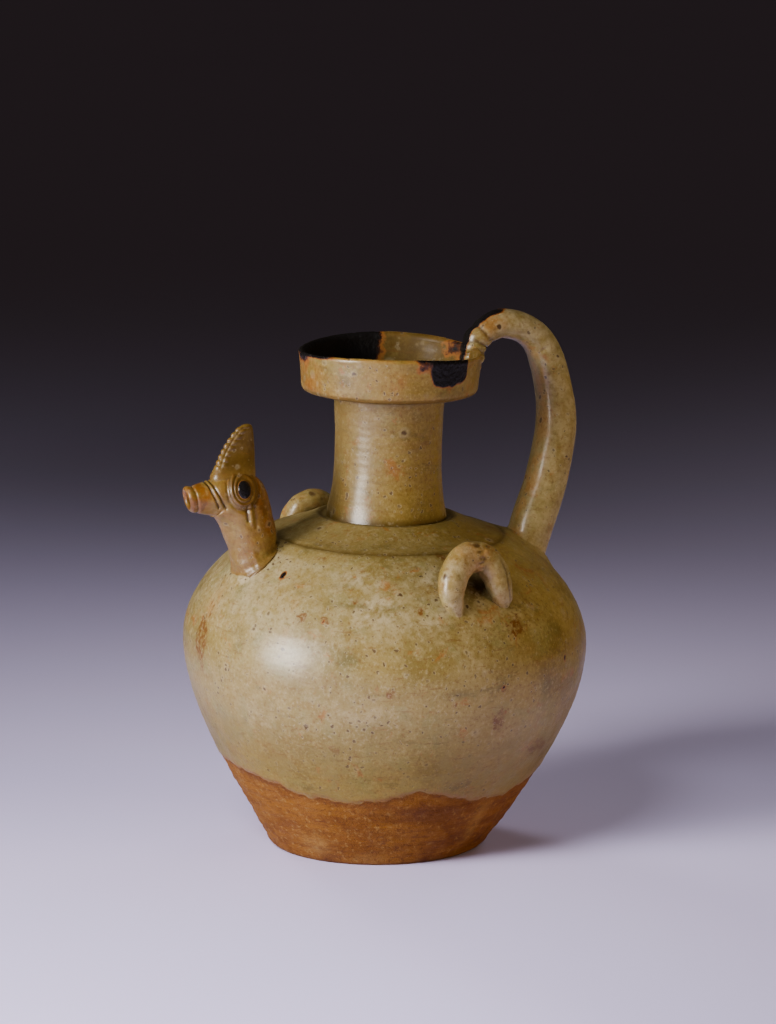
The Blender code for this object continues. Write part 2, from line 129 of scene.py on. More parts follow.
# How deep the hidden foot of a luted part runs into the wall, how far its flare is
# sunk there, and the low swelling of the wall round such a foot
BURIED = 0.0022
FLARE_SINK = 0.0005
SWELL_HEIGHT = 0.0015
SWELL_REACH = 0.0075

# Rings of each grid, and points round a ring
BODY_RINGS, INSIDE_RINGS, BODY_SIDES = 168, 44, 440
NECK_RINGS, NECK_SIDES = 250, 288
HANDLE_RINGS, HANDLE_SIDES = 270, 72
SPOUT_RINGS, SPOUT_BORE_RINGS, SPOUT_SIDES = 240, 70, 230
COMB_RINGS, COMB_SIDES = 190, 120
LUG_RINGS, LUG_SIDES = 220, 80

# Millimetres above the glaze's edge, for a piece that is glazed all over
ALL_GLAZED = 40.0

# The photograph's viewing point: its frame is 776 by 1024 pixels
VIEW_AZIMUTH = -30.0
VIEW_DISTANCE = 1.6621
VIEW_HEIGHT = 0.45856
VIEW_TARGET = (0.00371, 0.12718)
VIEW_SHIFT = 0.00051
VIEW_LENS = 157.2
SENSOR_WIDTH = 36.0
FLOOR_REACH = 9.0


def smooth(value, low, high):
    """Smooth step: 0 below low, 1 above high, three squares less two cubes between."""
    share = np.clip((value - low) / (high - low), 0.0, 1.0)
    return share * share * (3.0 - 2.0 * share)


def bell(value, width):
    """Bell curve: one at zero, falling as e to minus the square of value over width."""
    return np.exp(-(value / width) ** 2)


def through(rows, places):
    """Catmull-Rom cubic through rows of numbers, one apart, at the given places."""
    rows = np.asarray(rows, float)
    ends = np.vstack([2.0 * rows[0] - rows[1], rows, 2.0 * rows[-1] - rows[-2]])
    part = np.clip(np.floor(places).astype(int), 0, len(rows) - 2)
    t = (places - part)[:, None]
    a, b, c, d = ends[part], ends[part + 1], ends[part + 2], ends[part + 3]
    square = (2.0 * a - 5.0 * b + 4.0 * c - d) * t ** 2
    return 0.5 * (2.0 * b + (c - a) * t + square + (3.0 * b - a - 3.0 * c + d) * t ** 3)


def evenly(line, count, columns=2):
    """Rows of a line at even distances along it, measured in its first columns."""
    line = np.asarray(line, float)
    steps = np.linalg.norm(np.diff(line[:, :columns], axis=0), axis=1)
    run = np.concatenate(([0.0], np.cumsum(steps)))
    places = np.linspace(0.0, run[-1], count)
    return np.stack([np.interp(places, run, column) for column in line.T], axis=1)


def curve(rows, count, columns=2):
    """Smooth curve through rows of numbers, with count points at even distances."""
    fine = through(rows, np.linspace(0.0, len(rows) - 1.0, 12 * len(rows) + 1))
    return evenly(fine, count, columns)


def uneven(points, size, seed, waves=10):
    """Soft hand-made unevenness in about -1 to 1: a sum of sine waves of about one
    length, in seeded directions and phases."""
    draw = np.random.default_rng(seed)
    total = np.zeros(points.shape[:-1])
    for _ in range(waves):
        way = draw.normal(size=3)
        length = size * draw.uniform(0.7, 1.6)
        turn = draw.uniform(0.0, math.tau)
        total += np.sin(math.tau * (points @ (way / np.linalg.norm(way))) / length + turn)
    return total / math.sqrt(2.0 * waves)


def belly_radius(height, foot=FOOT_RADIUS, belly=BELLY_RADIUS):
    """Lower wall: belly less its drawing-in times (1 - climb) to a growing power."""
    climb = np.clip(height / BELLY_HEIGHT, 0.0, 1.0)
    return belly - (belly - foot) * (1.0 - climb) ** (LOWER_POWER + LOWER_ROUNDING * climb)


def shoulder_height(radius):
    """Outer shoulder: an oval from belly to ring, less a shallow half-sine hollow."""
    share = np.clip((radius - RING_RADIUS) / (BELLY_RADIUS - RING_RADIUS), 0.0, 1.0)
    band = np.clip((radius - RING_RADIUS) / (GROOVE_RADIUS - RING_RADIUS), 0.0, 1.0)
    hollow = SHOULDER_HOLLOW * np.sin(math.pi * band)
    return BELLY_HEIGHT + SHOULDER_RISE * np.sqrt(1.0 - share ** SHOULDER_POWER) - hollow


def shoulder_slope(radius):
    """Angle in degrees that the shoulder climbs toward the axis at a radius."""
    step = 0.0005
    climb = shoulder_height(radius - step) - shoulder_height(radius + step)
    return math.degrees(math.atan2(climb, 2.0 * step))


def polar(azimuth, radius, height):
    """Upright points from azimuths, radii and heights."""
    turn = np.radians(azimuth)
    parts = np.broadcast_arrays(radius * np.cos(turn), radius * np.sin(turn), height)
    return np.stack(parts, -1)


def flat_way(azimuth):
    """Level unit vectors toward azimuths."""
    return polar(azimuth, 1.0, 0.0)


def tipped(way, angle):
    """Level way turned down by an angle in degrees, in the plane of the way and up."""
    turn = np.radians(angle)[..., None]
    return way * np.cos(turn) - UP * np.sin(turn)


def lean(points):
    """Turn points about the foot by the lean angle, eased in above the flat foot,
    and bow the belly to the same side by a half sine."""
    way, hinge = flat_way(LEAN_AZIMUTH), flat_way(LEAN_AZIMUTH + 90.0)
    turned = points @ np.array(Matrix.Rotation(math.radians(LEAN_ANGLE), 3, Vector(hinge))).T
    share = smooth(points[..., 2], 0.0, LEAN_START)[..., None]
    bow = BELLY_BOW * np.sin(math.pi * np.clip(points[..., 2] / RING_HEIGHT, 0.0, 1.0))
    return points + (turned - points) * share + bow[..., None] * way


def azimuth_of(points):
    """Azimuth in degrees of upright points."""
    return np.degrees(np.arctan2(points[..., 1], points[..., 0]))


def apart(azimuth, centre):
    """Difference of two azimuths in degrees, from -180 to 180."""
    return (azimuth - centre + 180.0) % 360.0 - 180.0


def spot(points, azimuth, height, wide, tall, radius=BELLY_RADIUS):
    """Oval mark on the turned wall: the bell of the distance from its centre, with
    half sizes wide and tall in metres."""
    across = np.radians(apart(azimuth_of(points), azimuth)) * radius
    return np.exp(-(across / wide) ** 2 - ((points[..., 2] - height) / tall) ** 2)


def spun(line, sides):
    """Points of an outline of radii and heights turned about the axis, with their
    azimuths, radii and heights."""
    turn = np.degrees(np.linspace(0.0, math.tau, sides, endpoint=False))
    radius, height = line[:, :1], line[:, 1:]
    grid = polar(turn, radius, height)
    return grid, azimuth_of(grid), radius, height


def oval(centre, across, along, sides, power=2.2):
    """Rings of points: slightly squared ovals about centres, on two half axes."""
    turn = np.linspace(0.0, math.tau, sides, endpoint=False)
    c, s = np.cos(turn), np.sin(turn)
    u = np.sign(c) * np.abs(c) ** (2.0 / power)
    v = np.sign(s) * np.abs(s) ** (2.0 / power)
    return centre[:, None] + across[:, None] * u[None, :, None] + along[:, None] * v[None, :, None]


def along_and_round(grid):
    """Share of the way along a grid's rings, and the angle in radians round a ring."""
    rings, sides = grid.shape[:2]
    angle = np.linspace(0.0, math.tau, sides, endpoint=False)
    return np.linspace(0.0, 1.0, rings)[:, None], angle[None, :]


def pushed(grid, relief):
    """Grid moved by a relief along its normals: the cross product of its two steps,
    turned so that it mostly points away from the middles of the rings."""
    around = np.roll(grid, -1, axis=1) - np.roll(grid, 1, axis=1)
    normal = np.cross(around, np.gradient(grid, axis=0))
    normal /= np.maximum(np.linalg.norm(normal, axis=-1, keepdims=True), 1e-12)
    side = np.sign((normal * (grid - grid.mean(axis=1, keepdims=True))).sum())
    return grid + normal * (relief * side)[..., None]


def flare(above, reach):
    """Extra half width of a luted foot above the wall: a quarter circle."""
    share = np.clip(1.0 - above / reach, 0.0, 1.0)
    return reach * (1.0 - np.sqrt(1.0 - share * share))


def settle(grid, foot_radius, above, reach):
    """Bend a luted foot to follow the round shoulder: each point is moved by how far
    the true shoulder is from the slope at the foot's middle."""
    hold = np.clip(1.0 - above / (2.0 * reach), 0.0, 1.0)[:, None]
    radius = np.hypot(grid[..., 0], grid[..., 1])
    fall = math.tan(math.radians(shoulder_slope(foot_radius)))
    flat = shoulder_height(foot_radius) - fall * (radius - foot_radius)
    return grid + (hold * (shoulder_height(radius) - flat))[..., None] * UP


def make_piece(name, grid, material, marks, loop=False):
    """Closed mesh over a grid of rings, with a point at each end unless the last ring
    joins the first. Marks are numbers kept on the points for the material."""
    rings, sides = grid.shape[:2]
    points = grid.reshape(-1, 3)
    row = np.arange(rings if loop else rings - 1)[:, None]
    col = np.arange(sides)[None, :]
    after, above = (col + 1) % sides, (row + 1) % rings
    corners = [row * sides + col, row * sides + after, above * sides + after, above * sides + col]
    faces = np.stack(corners, -1).reshape(-1, 4)
    p = points[faces]
    volume = (p[:, 0] * (np.cross(p[:, 1], p[:, 2]) + np.cross(p[:, 2], p[:, 3]))).sum()
    faces = faces.tolist()
    marks = {key: np.broadcast_to(value, (rings, sides)).ravel() for key, value in marks.items()}
    if not loop:
        first, last = len(points), len(points) + 1
        around = np.arange(sides)
        start = np.stack([np.roll(around, -1), around, np.full(sides, first)], -1)
        end = np.stack([around, np.roll(around, -1), np.full(sides, last)], -1)
        end[:, :2] += (rings - 1) * sides
        points = np.vstack([points, grid[0].mean(0), grid[-1].mean(0)])
        marks = {
            key: np.concatenate([value, [value[:sides].mean(), value[-sides:].mean()]])
            for key, value in marks.items()
        }
        faces += start.tolist() + end.tolist()
    if volume < 0.0:
        faces = [face[::-1] for face in faces]
    mesh = bpy.data.meshes.new(name)
    mesh.from_pydata(points.astype(np.float32), [], faces)
    for key, value in marks.items():
        mark = mesh.attributes.new(key, "FLOAT", "POINT")
        mark.data.foreach_set("value", value.astype(np.float32))
    mesh.shade_smooth()
    mesh.materials.append(material)
    piece = bpy.data.objects.new(name, mesh)
    bpy.context.scene.collection.objects.link(piece)
    return piece


# Height of the glaze's lower edge round the foot, in millimetres at azimuths
GLAZE_EDGE = [
    (-180, 34.2), (-169, 33.2), (-160, 32.4), (-153, 29.8), (-142, 28.7), (-132, 28.3),
    (-121, 29.2), (-112, 32.0), (-106, 33.4), (-100, 32.4), (-94, 30.0), (-84, 28.0),
    (-76, 27.2), (-68, 27.0), (-62, 28.2), (-50, 31.0), (-34, 33.0), (-16, 31.0), (4, 28.5),
    (22, 29.5), (40, 33.0), (62, 35.0), (84, 32.5), (102, 29.5), (120, 30.5), (142, 33.5),
    (162, 34.6), (180, 34.2),
]


def glaze_edge(azimuth):
    """Height of the glaze's edge: the smooth curve through its listed heights,
    with small ripples from sine waves."""
    keys = np.array(GLAZE_EDGE, float)
    places = np.interp(azimuth, keys[:, 0], np.arange(len(keys)))
    height = through(keys[:, 1:], places.ravel()).reshape(azimuth.shape)
    turn = np.radians(azimuth)
    ripple = 0.35 * np.sin(23 * turn + 1.0) + 0.25 * np.sin(41 * turn + 2.0) + 0.15 * np.sin(77 * turn)
    return (height + ripple) * MM


# Spots on the body: azimuth, height, half width and half height (mm), and strength
BODY_SPOTS = {
    "stain": [
        (-85, 62, 2.8, 4.8, 0.85), (-85, 75, 1.7, 1.5, 1.0), (-78, 96, 4.5, 3.0, 0.8),
        (-100, 70, 1.4, 1.2, 0.8), (-139, 99, 2.6, 1.6, 0.7), (-109, 103, 2.0, 1.4, 0.7),
        (-146, 99, 2.4, 2.0, 0.6), (-118, 74.5, 2.2, 2.0, 0.7), (-134, 51, 2.4, 1.8, 0.6),
        (-130, 106, 2.4, 1.5, 0.5), (176, 83, 6.0, 10.0, 0.7), (-60, 46, 9.0, 5.0, 0.5),
        (-146, 0.5, 9.0, 4.0, 0.9), (-95, 1.0, 6.0, 4.0, 0.9), (-104, 24, 14.0, 3.5, 0.9),
        (-150, 117.4, 9.0, 0.5, 0.5), (-94, 119, 3.0, 1.0, 0.8), (30, 80, 5.0, 4.0, 0.6),
        (66, 96, 3.0, 3.0, 0.7), (104, 58, 2.4, 2.0, 0.8), (138, 88, 4.0, 2.6, 0.6),
        (52, 60, 2.0, 3.0, 0.7), (150, 52, 6.0, 3.0, 0.5), (84, 20, 12.0, 4.0, 0.7),
    ],
    "green": [
        (-85, 61, 3.2, 4.6, 0.35), (-100, 74, 6.0, 1.6, 0.8), (-167, 88, 5.0, 4.0, 0.8),
        (-131, 87, 5.0, 3.5, 0.8), (-68, 73, 4.0, 6.0, 0.7), (-126, 104.6, 19.0, 0.9, 0.8),
        (-150, 107, 9.0, 0.8, 0.6), (-100, 98, 10.0, 1.0, 0.6), (-92, 108, 8.0, 2.5, 0.6),
        (-120, 60, 9.0, 4.0, 0.5), (-60, 92, 7.0, 6.0, 0.6), (-80, 48, 10.0, 6.0, 0.5),
        (10, 70, 9.0, 6.0, 0.6), (60, 82, 8.0, 6.0, 0.6), (110, 100, 7.0, 4.0, 0.6),
        (140, 66, 8.0, 7.0, 0.6), (-30, 62, 8.0, 8.0, 0.6), (-20, 100, 9.0, 4.0, 0.5),
    ],
    "pale": [
        (-130, 112.6, 12.0, 2.4, 0.8), (-122, 104, 11.0, 4.5, 0.75), (-104, 101, 6.0, 3.0, 0.6),
        # The pale spots at azimuths -95 and -147, near 85 mm up, are painted highlights on the belly.
        (-103, 113, 5.0, 2.0, 0.8), (-95, 85, 6.0, 4.0, 0.6), (-147, 84, 9.0, 7.0, 0.5),
        (-176, 108, 6.0, 4.0, 0.7), (-125, 66, 12.0, 5.0, 0.4), (-160, 60, 9.0, 6.0, 0.4),
        (0, 88, 10.0, 6.0, 0.5), (80, 64, 12.0, 6.0, 0.5), (125, 78, 9.0, 6.0, 0.5),
        (40, 104, 9.0, 3.0, 0.6),
    ],
    "thin": [
        (-75, 17, 5.0, 10.0, 0.55), (-150, 8, 8.0, 4.0, 0.6), (-124, 3, 9.0, 2.0, 0.5),
        (-150, 98, 1.6, 6.0, 0.8), (176, 96, 5.0, 6.0, 0.8), (-158, 73, 4.0, 2.0, 0.4),
        (-84, 57, 3.0, 2.0, 0.4), (20, 16, 3.0, 8.0, 0.7), (100, 12, 2.4, 6.0, 0.7),
        (60, 104, 3.0, 2.0, 0.7), (-118, 34, 5.0, 1.4, 0.6), (-92, 33, 4.0, 1.6, 0.6),
    ],
    # The umber spots behind the two lugs are painted shade, seen through the lugs' holes.
    "umber": [(-87, 110, 3.6, 2.7, 3.0), (88, 110, 3.2, 2.4, 2.5)],
    "iron": [
        (-160.8, 111.2, 1.3, 1.1, 1.3), (-59, 81, 0.9, 1.1, 1.2), (-85, 75, 0.8, 0.7, 0.9),
        (-139, 99, 0.7, 0.6, 0.8), (72, 88, 0.8, 0.8, 0.8),
    ],
}


def body_outline():
    """Radius and height round the wall: from under the foot, up the outside, over the
    shoulder, then down the inside to the floor."""
    ring = FOOT_RADIUS - 0.0016
    radius = np.linspace(0.0008, ring, 30)
    under = np.stack([radius, UNDER_HOLLOW * (1.0 - (radius / ring) ** 6)], 1)
    turn = np.radians(np.linspace(-90.0, -20.0, 10))
    round_edge = FOOT_RADIUS + FOOT_EDGE * (np.cos(turn) - 1.0)
    edge = np.stack([round_edge, FOOT_EDGE * (1.0 + np.sin(turn))], 1)
    height = np.linspace(FOOT_EDGE, BELLY_HEIGHT, 300)
    wall = np.stack([belly_radius(height), height], 1)
    share = np.cos(np.radians(np.linspace(0.5, 90.0, 300))) ** (2.0 / SHOULDER_POWER)
    radius = RING_RADIUS + (BELLY_RADIUS - RING_RADIUS) * share
    cut = GROOVE_DEPTH * bell(radius - GROOVE_RADIUS, GROOVE_WIDTH)
    shoulder = np.stack([radius, shoulder_height(radius) - cut], 1)
    lip = RING_RADIUS - RING_WIDTH
    step = [
        (lip + 0.0010, RING_HEIGHT + 0.0001), (lip + 0.0004, RING_HEIGHT - 0.0002),
        (lip, RING_HEIGHT - RING_DEPTH), (NECK_FOOT_RADIUS - 0.0016, RING_HEIGHT - RING_DEPTH),
    ]
    outside = evenly(np.vstack([under, edge, wall, shoulder, step]), BODY_RINGS)
    belly, ceiling, start = BELLY_RADIUS - BODY_WALL, RING_HEIGHT - BODY_WALL, BORE_RADIUS + 0.0020
    turn = np.radians(np.linspace(90.0, 0.0, 80))
    vault_radius = start + (belly - start) * np.cos(turn) ** (2.0 / SHOULDER_POWER)
    vault = np.stack([vault_radius, BELLY_HEIGHT + (ceiling - BELLY_HEIGHT) * np.sin(turn)], 1)
    height = np.linspace(BELLY_HEIGHT, FLOOR, 80)
    inner = np.stack([belly_radius(height, FOOT_RADIUS - BODY_WALL, belly), height], 1)
    top, middle = (BORE_RADIUS + 0.0008, RING_HEIGHT - 0.0022), (0.0008, FLOOR)
    return outside, evenly(np.vstack([[top], vault, inner, [middle]]), INSIDE_RINGS)


def body_relief(grid, azimuth, height, above):
    """Relief of the body: wheel lines as sine waves, soft unevenness, the thickness of
    the glaze with a roll at its edge, scars in the clay, and swellings at luted feet."""
    glazed = smooth(above, -0.0002, 0.0009)
    wheel = np.sin(math.tau * height / 0.0034 + 0.8 * np.sin(2 * np.radians(azimuth)))
    wheel += 0.8 * np.sin(math.tau * height / 0.0083 + 1.3)
    relief = wheel * (0.00003 + 0.00005 * (1.0 - glazed))
    relief += 0.00030 * uneven(grid, 0.070, 3) + 0.00010 * uneven(grid, 0.020, 4)
    relief += 0.00030 * (glazed - 1.0) + 0.00022 * bell(above - 0.0016, 0.0012) * glazed
    relief += 0.00010 * uneven(grid * [1, 1, 3.0], 0.012, 5) * (1.0 - glazed)
    scraped = 0.6 + 0.4 * uneven(grid, 0.005, 6)
    relief -= 0.0006 * spot(grid, -72.0, 0.016, 0.006, 0.011) * scraped
    relief -= 0.00035 * spot(grid, -146.0, 0.0005, 0.010, 0.0016, FOOT_RADIUS)
    relief -= 0.00030 * spot(grid, -98.0, 0.0005, 0.006, 0.0014, FOOT_RADIUS)
    for facing, radius, half in (
        (SPOUT_AZIMUTH, SPOUT_FOOT_RADIUS, 0.0104), (HANDLE_FOOT_AZIMUTH, HANDLE_FOOT_RADIUS, 0.0092),
    ):
        away = np.linalg.norm(grid - polar(facing, radius, shoulder_height(radius)), axis=-1)
        swell = np.clip(1.0 - (away - half) / SWELL_REACH, 0.0, 1.0) ** 2
        relief += SWELL_HEIGHT * swell * (away > half * 0.2)
    return relief


def body_piece(material):
    """The body: its outline turned about the axis and moved by its relief, with marks
    for pooled, dark, warm and pale glaze and its listed spots. The shoulder behind the
    lugs' holes carries painted shade, the warm mark paints shade on the side away from
    the key light, and two pale spots are painted highlights on the belly."""
    outside, inside = body_outline()
    grid, azimuth, radius, height = spun(np.vstack([outside, inside]), BODY_SIDES)
    out = np.zeros(grid.shape[:2])
    out[: len(outside)] = 1.0
    above = height - glaze_edge(azimuth)
    wall = out * smooth(height, 0.0004, 0.0030)
    grid = pushed(grid, body_relief(grid, azimuth, height, above) * wall)
    pooled_glaze_and_shade = bell(radius - GROOVE_RADIUS, 0.0011) * (height > BELLY_HEIGHT)
    pooled_glaze_and_shade = pooled_glaze_and_shade + bell(radius - (RING_RADIUS - RING_WIDTH), 0.0010) * (height > RING_HEIGHT - 0.002)
    # Painted shade on the shoulder behind the lugs' holes, laid over the pooled glaze.
    painted_shade_behind_lugs = spot(grid, -86.5, 0.1105, 0.0036, 0.0026) + spot(grid, 88.0, 0.1105, 0.0032, 0.0024)
    marks = {
        "above_edge": np.where(out > 0.5, above / MM, ALL_GLAZED), "inside": 1.0 - out,
        "pooled_glaze_and_shade": out * (pooled_glaze_and_shade + 1.2 * painted_shade_behind_lugs), "dark": out * smooth(height, 0.1165, 0.1215) * 0.34,
        # The warm tint is weak all round and strong round azimuth -55: painted shade on the side away from
        # the key light.
        "warm": out * (0.15 + 0.85 * bell(apart(azimuth, -55.0), 38.0)),
    }
    for name, places in BODY_SPOTS.items():
        total = sum(
            strength * spot(grid, turn, tall * MM, wide * MM, high * MM)
            for turn, tall, wide, high, strength in places
        )
        marks[name] = np.clip(total * out, 0.0, 1.0)
    upper = smooth(height, 0.084, 0.104) * smooth(height, 0.1185, 0.1150)
    bleached = 0.52 * out * upper * (0.8 + 0.6 * uneven(grid, 0.045, 7))
    marks["pale"] = np.clip(marks["pale"] + bleached, 0.0, 1.0)
    return make_piece("ewer_body", lean(grid), material, marks)


def neck_outline():
    """Radius and height of neck, dish and bore as one closed line: up the outside,
    over the rim, across the dish's floor and down the bore."""
    foot = RING_HEIGHT - 0.0010
    waist = foot + (NECK_TOP_HEIGHT - foot) * NECK_WAIST
    height = np.linspace(foot, NECK_TOP_HEIGHT, 160)
    low = np.clip((waist - height) / (waist - foot), 0.0, 1.0) ** 2.5
    high = np.clip((height - waist) / (NECK_TOP_HEIGHT - waist), 0.0, 1.0) ** 2.5
    spread = (NECK_FOOT_RADIUS - NECK_RADIUS) * low + (NECK_TOP_RADIUS - NECK_RADIUS) * high
    neck = np.stack([NECK_RADIUS + spread, height], 1)
    base, top, bore = NECK_TOP_HEIGHT + DISH_RISE, RIM_HEIGHT, BORE_RADIUS
    bowl, inner, lip = base + DISH_FLOOR, DISH_FOOT_RADIUS - DISH_WALL, DISH_RADIUS - DISH_WALL
    dish = [
        (NECK_TOP_RADIUS + 0.0002, NECK_TOP_HEIGHT + 0.0004),
        (NECK_TOP_RADIUS + 0.0016, NECK_TOP_HEIGHT + 0.0010),
        (DISH_FOOT_RADIUS - 0.0050, base - 0.0003), (DISH_FOOT_RADIUS - 0.0016, base - 0.0001),
        (DISH_FOOT_RADIUS - 0.0004, base + 0.0003), (DISH_FOOT_RADIUS + 0.0002, base + 0.0011),
        (DISH_FOOT_RADIUS + 0.0006, base + 0.0026), (DISH_FOOT_RADIUS + 0.0010, base + 0.0070),
        (DISH_RADIUS - 0.0003, top - 0.0034), (DISH_RADIUS, top - 0.0012),
        (DISH_RADIUS - 0.0003, top - 0.0003), (DISH_RADIUS - 0.0010, top),
        (DISH_RADIUS - 0.0020, top - 0.0004), (lip + 0.0002, top - 0.0014),
        (lip - 0.0004, top - 0.0050), (inner, bowl + 0.0026), (inner - 0.0012, bowl + 0.0006),
        (inner - 0.0040, bowl - 0.0006), (bore + 0.0050, NECK_TOP_HEIGHT + 0.0036),
        (bore + 0.0018, NECK_TOP_HEIGHT + 0.0018), (bore + 0.0004, NECK_TOP_HEIGHT - 0.0010),
        (bore, NECK_TOP_HEIGHT - 0.0050),
    ]
    dish = through(dish, np.linspace(0.0, len(dish) - 1.0, 260))
    end = RING_HEIGHT - BODY_WALL - 0.0004
    close = [
        (bore, end + 0.002), (bore + 0.0002, end), (bore + 0.0020, end),
        (NECK_FOOT_RADIUS - 0.0020, foot - 0.0008),
    ]
    return evenly(np.vstack([neck, dish, close]), NECK_RINGS)


def neck_grid():
    """Neck and dish: the closed outline turned about the axis, with the rim's warp,
    hand unevenness, wheel lines and nicks along the rim."""
    grid, azimuth, radius, height = spun(neck_outline(), NECK_SIDES)
    rise = np.clip((height - NECK_TOP_HEIGHT) / (RIM_HEIGHT - NECK_TOP_HEIGHT), 0.0, 1.0)
    grid[..., 2] += RIM_WARP * rise * np.cos(2.0 * np.radians(azimuth - RIM_WARP_AZIMUTH))
    wheel = np.sin(math.tau * height / 0.0029 + np.sin(np.radians(azimuth)))
    wheel += 0.7 * np.sin(math.tau * height / 0.0067)
    relief = 0.00002 * wheel + 0.00018 * uneven(grid, 0.040, 11) + 0.00009 * uneven(grid, 0.012, 12)
    rim = smooth(height, RIM_HEIGHT - 0.0016, RIM_HEIGHT - 0.0002)
    flat = grid * [1, 1, 0]
    nick = np.clip(uneven(flat, 0.0055, 13) - 0.5, 0.0, 1.0)
    nick += 0.5 * np.clip(uneven(flat, 0.0025, 14) - 0.8, 0.0, 1.0)
    return pushed(grid, relief - 0.0005 * nick * rim), azimuth, radius, height


def neck_piece(material):
    """Neck and dish, with the marks of iron, thin glaze and pooling. The iron lies in
    the dish's back, over its front edge and under the handle's end."""
    grid, azimuth, radius, height = neck_grid()
    lip = DISH_RADIUS - DISH_WALL * 0.5
    outer, inner = radius > lip, (radius < lip) & (height > NECK_TOP_HEIGHT + 0.001)
    depth, below_dish = RIM_HEIGHT - height, height < NECK_TOP_HEIGHT
    front = smooth(apart(azimuth, -109.0), 0.0, 9.0) * smooth(apart(azimuth, -63.0), 1.0, -1.5)
    core = smooth(apart(azimuth, -95.0), 0.0, 5.0)
    reach = 0.0048 + 0.0052 * core * np.clip(1.0 - (apart(azimuth, -82.0) / 26.0) ** 2, 0.0, 1.0)
    reach = reach + 0.0003 * np.sin(np.radians(azimuth) * 41.0)
    iron_out = front * smooth(depth - reach, 0.0016, -0.0016) * outer * (0.50 + 0.50 * core)
    iron_left = 0.72 * bell(apart(azimuth, -194.0), 14.0) * smooth(depth, 0.0060, 0.0015) * outer
    back = smooth(apart(azimuth, 58.0), 0.0, 20.0) * smooth(apart(azimuth, 196.0), 12.0, -4.0)
    iron_in = back * smooth(depth, 0.0125, 0.0085) * inner
    top = smooth(depth, 0.0016, 0.0004)
    iron_top = top * np.maximum(back * 0.9, front * 0.8) * 0.9
    iron_end = smooth(np.abs(apart(azimuth, 4.0)), 22.0, 8.0) * smooth(depth, 0.0090, 0.0030) * inner
    dish_foot = bell(height - (NECK_TOP_HEIGHT + DISH_RISE + 0.0010), 0.0008)
    under_dish = bell(height - NECK_TOP_HEIGHT - 0.0006, 0.0010) * (radius < 0.026)
    low = depth - 0.0085
    wall = outer * smooth(depth, 0.0020, 0.0040)
    marks = {
        "above_edge": ALL_GLAZED,
        "iron": np.maximum.reduce([iron_out, iron_left, iron_in, iron_top, iron_end * 0.55]),
        "thin": top * 0.8 + 0.6 * dish_foot * (radius > DISH_FOOT_RADIUS - 0.003),
        "pooled_glaze_and_shade": (bell(height - RING_HEIGHT, 0.0016) + under_dish) * (radius > NECK_RADIUS),
        # Painted shade: the dish's inside is darker, over its thicker glaze, and the warm tint grows on the
        # side away from the key light, round azimuth -60.
        "dark": (0.16 + 0.26 * bell(apart(azimuth, -172.0), 34.0)) * below_dish + 0.72 * inner,
        "warm": 0.66 + 0.60 * bell(apart(azimuth, -60.0), 36.0) + 0.5 * inner + 0.35 * outer * ~below_dish,
        "matt": 0.85 * inner,
        "rust": wall * (
            0.7 * bell(apart(azimuth, 172.0), 16.0) + 0.5 * bell(apart(azimuth, 40.0), 12.0)
            + 0.7 * bell(apart(azimuth, -116.0), 5.0) * bell(low, 0.0030)
        ),
        "green": wall * (
            0.8 * bell(apart(azimuth, -150.0), 5.0) * bell(low, 0.0025)
            + 0.6 * bell(apart(azimuth, -70.0), 14.0) * bell(depth - 0.0150, 0.0030)
        ),
    }
    return make_piece("neck_and_dish", lean(grid), material, marks, loop=True)


def handle_rows():
    """Radius, height, half thickness and azimuth along the coil, from its end on the
    rim to its foot."""
    foot_height = shoulder_height(HANDLE_FOOT_RADIUS)
    end, top, mid, foot = 0.0048, 0.0055, 0.0073, 0.0082
    low, high = HANDLE_FOOT_AZIMUTH, HANDLE_TOP_AZIMUTH
    drop, draw = HANDLE_REACH_HEIGHT - foot_height, HANDLE_REACH - HANDLE_FOOT_RADIUS
    over, rise = HANDLE_REACH - HANDLE_TOP_RADIUS, RIM_HEIGHT + HANDLE_RISE - HANDLE_REACH_HEIGHT
    return [
        (DISH_RADIUS - 0.0010, RIM_HEIGHT - HANDLE_LAP, end * 0.66, high),
        (DISH_RADIUS - 0.0002, RIM_HEIGHT - HANDLE_LAP * 0.45, end * 0.94, high),
        (DISH_RADIUS + 0.0020, RIM_HEIGHT + HANDLE_RISE * 0.30, end, high),
        (HANDLE_TOP_RADIUS, RIM_HEIGHT + HANDLE_RISE, top, high),
        (HANDLE_TOP_RADIUS + over * 0.70, HANDLE_REACH_HEIGHT + rise * 0.76, top * 1.10, high),
        (HANDLE_REACH, HANDLE_REACH_HEIGHT, mid, high * 0.7 + low * 0.3),
        (HANDLE_REACH - draw * 0.32, foot_height + drop * 0.52, foot * 0.97, high * 0.35 + low * 0.65),
        (HANDLE_FOOT_RADIUS + draw * 0.10, foot_height + drop * 0.10, foot, low),
        (HANDLE_FOOT_RADIUS - 0.0006, foot_height - BURIED, foot, low),
    ]


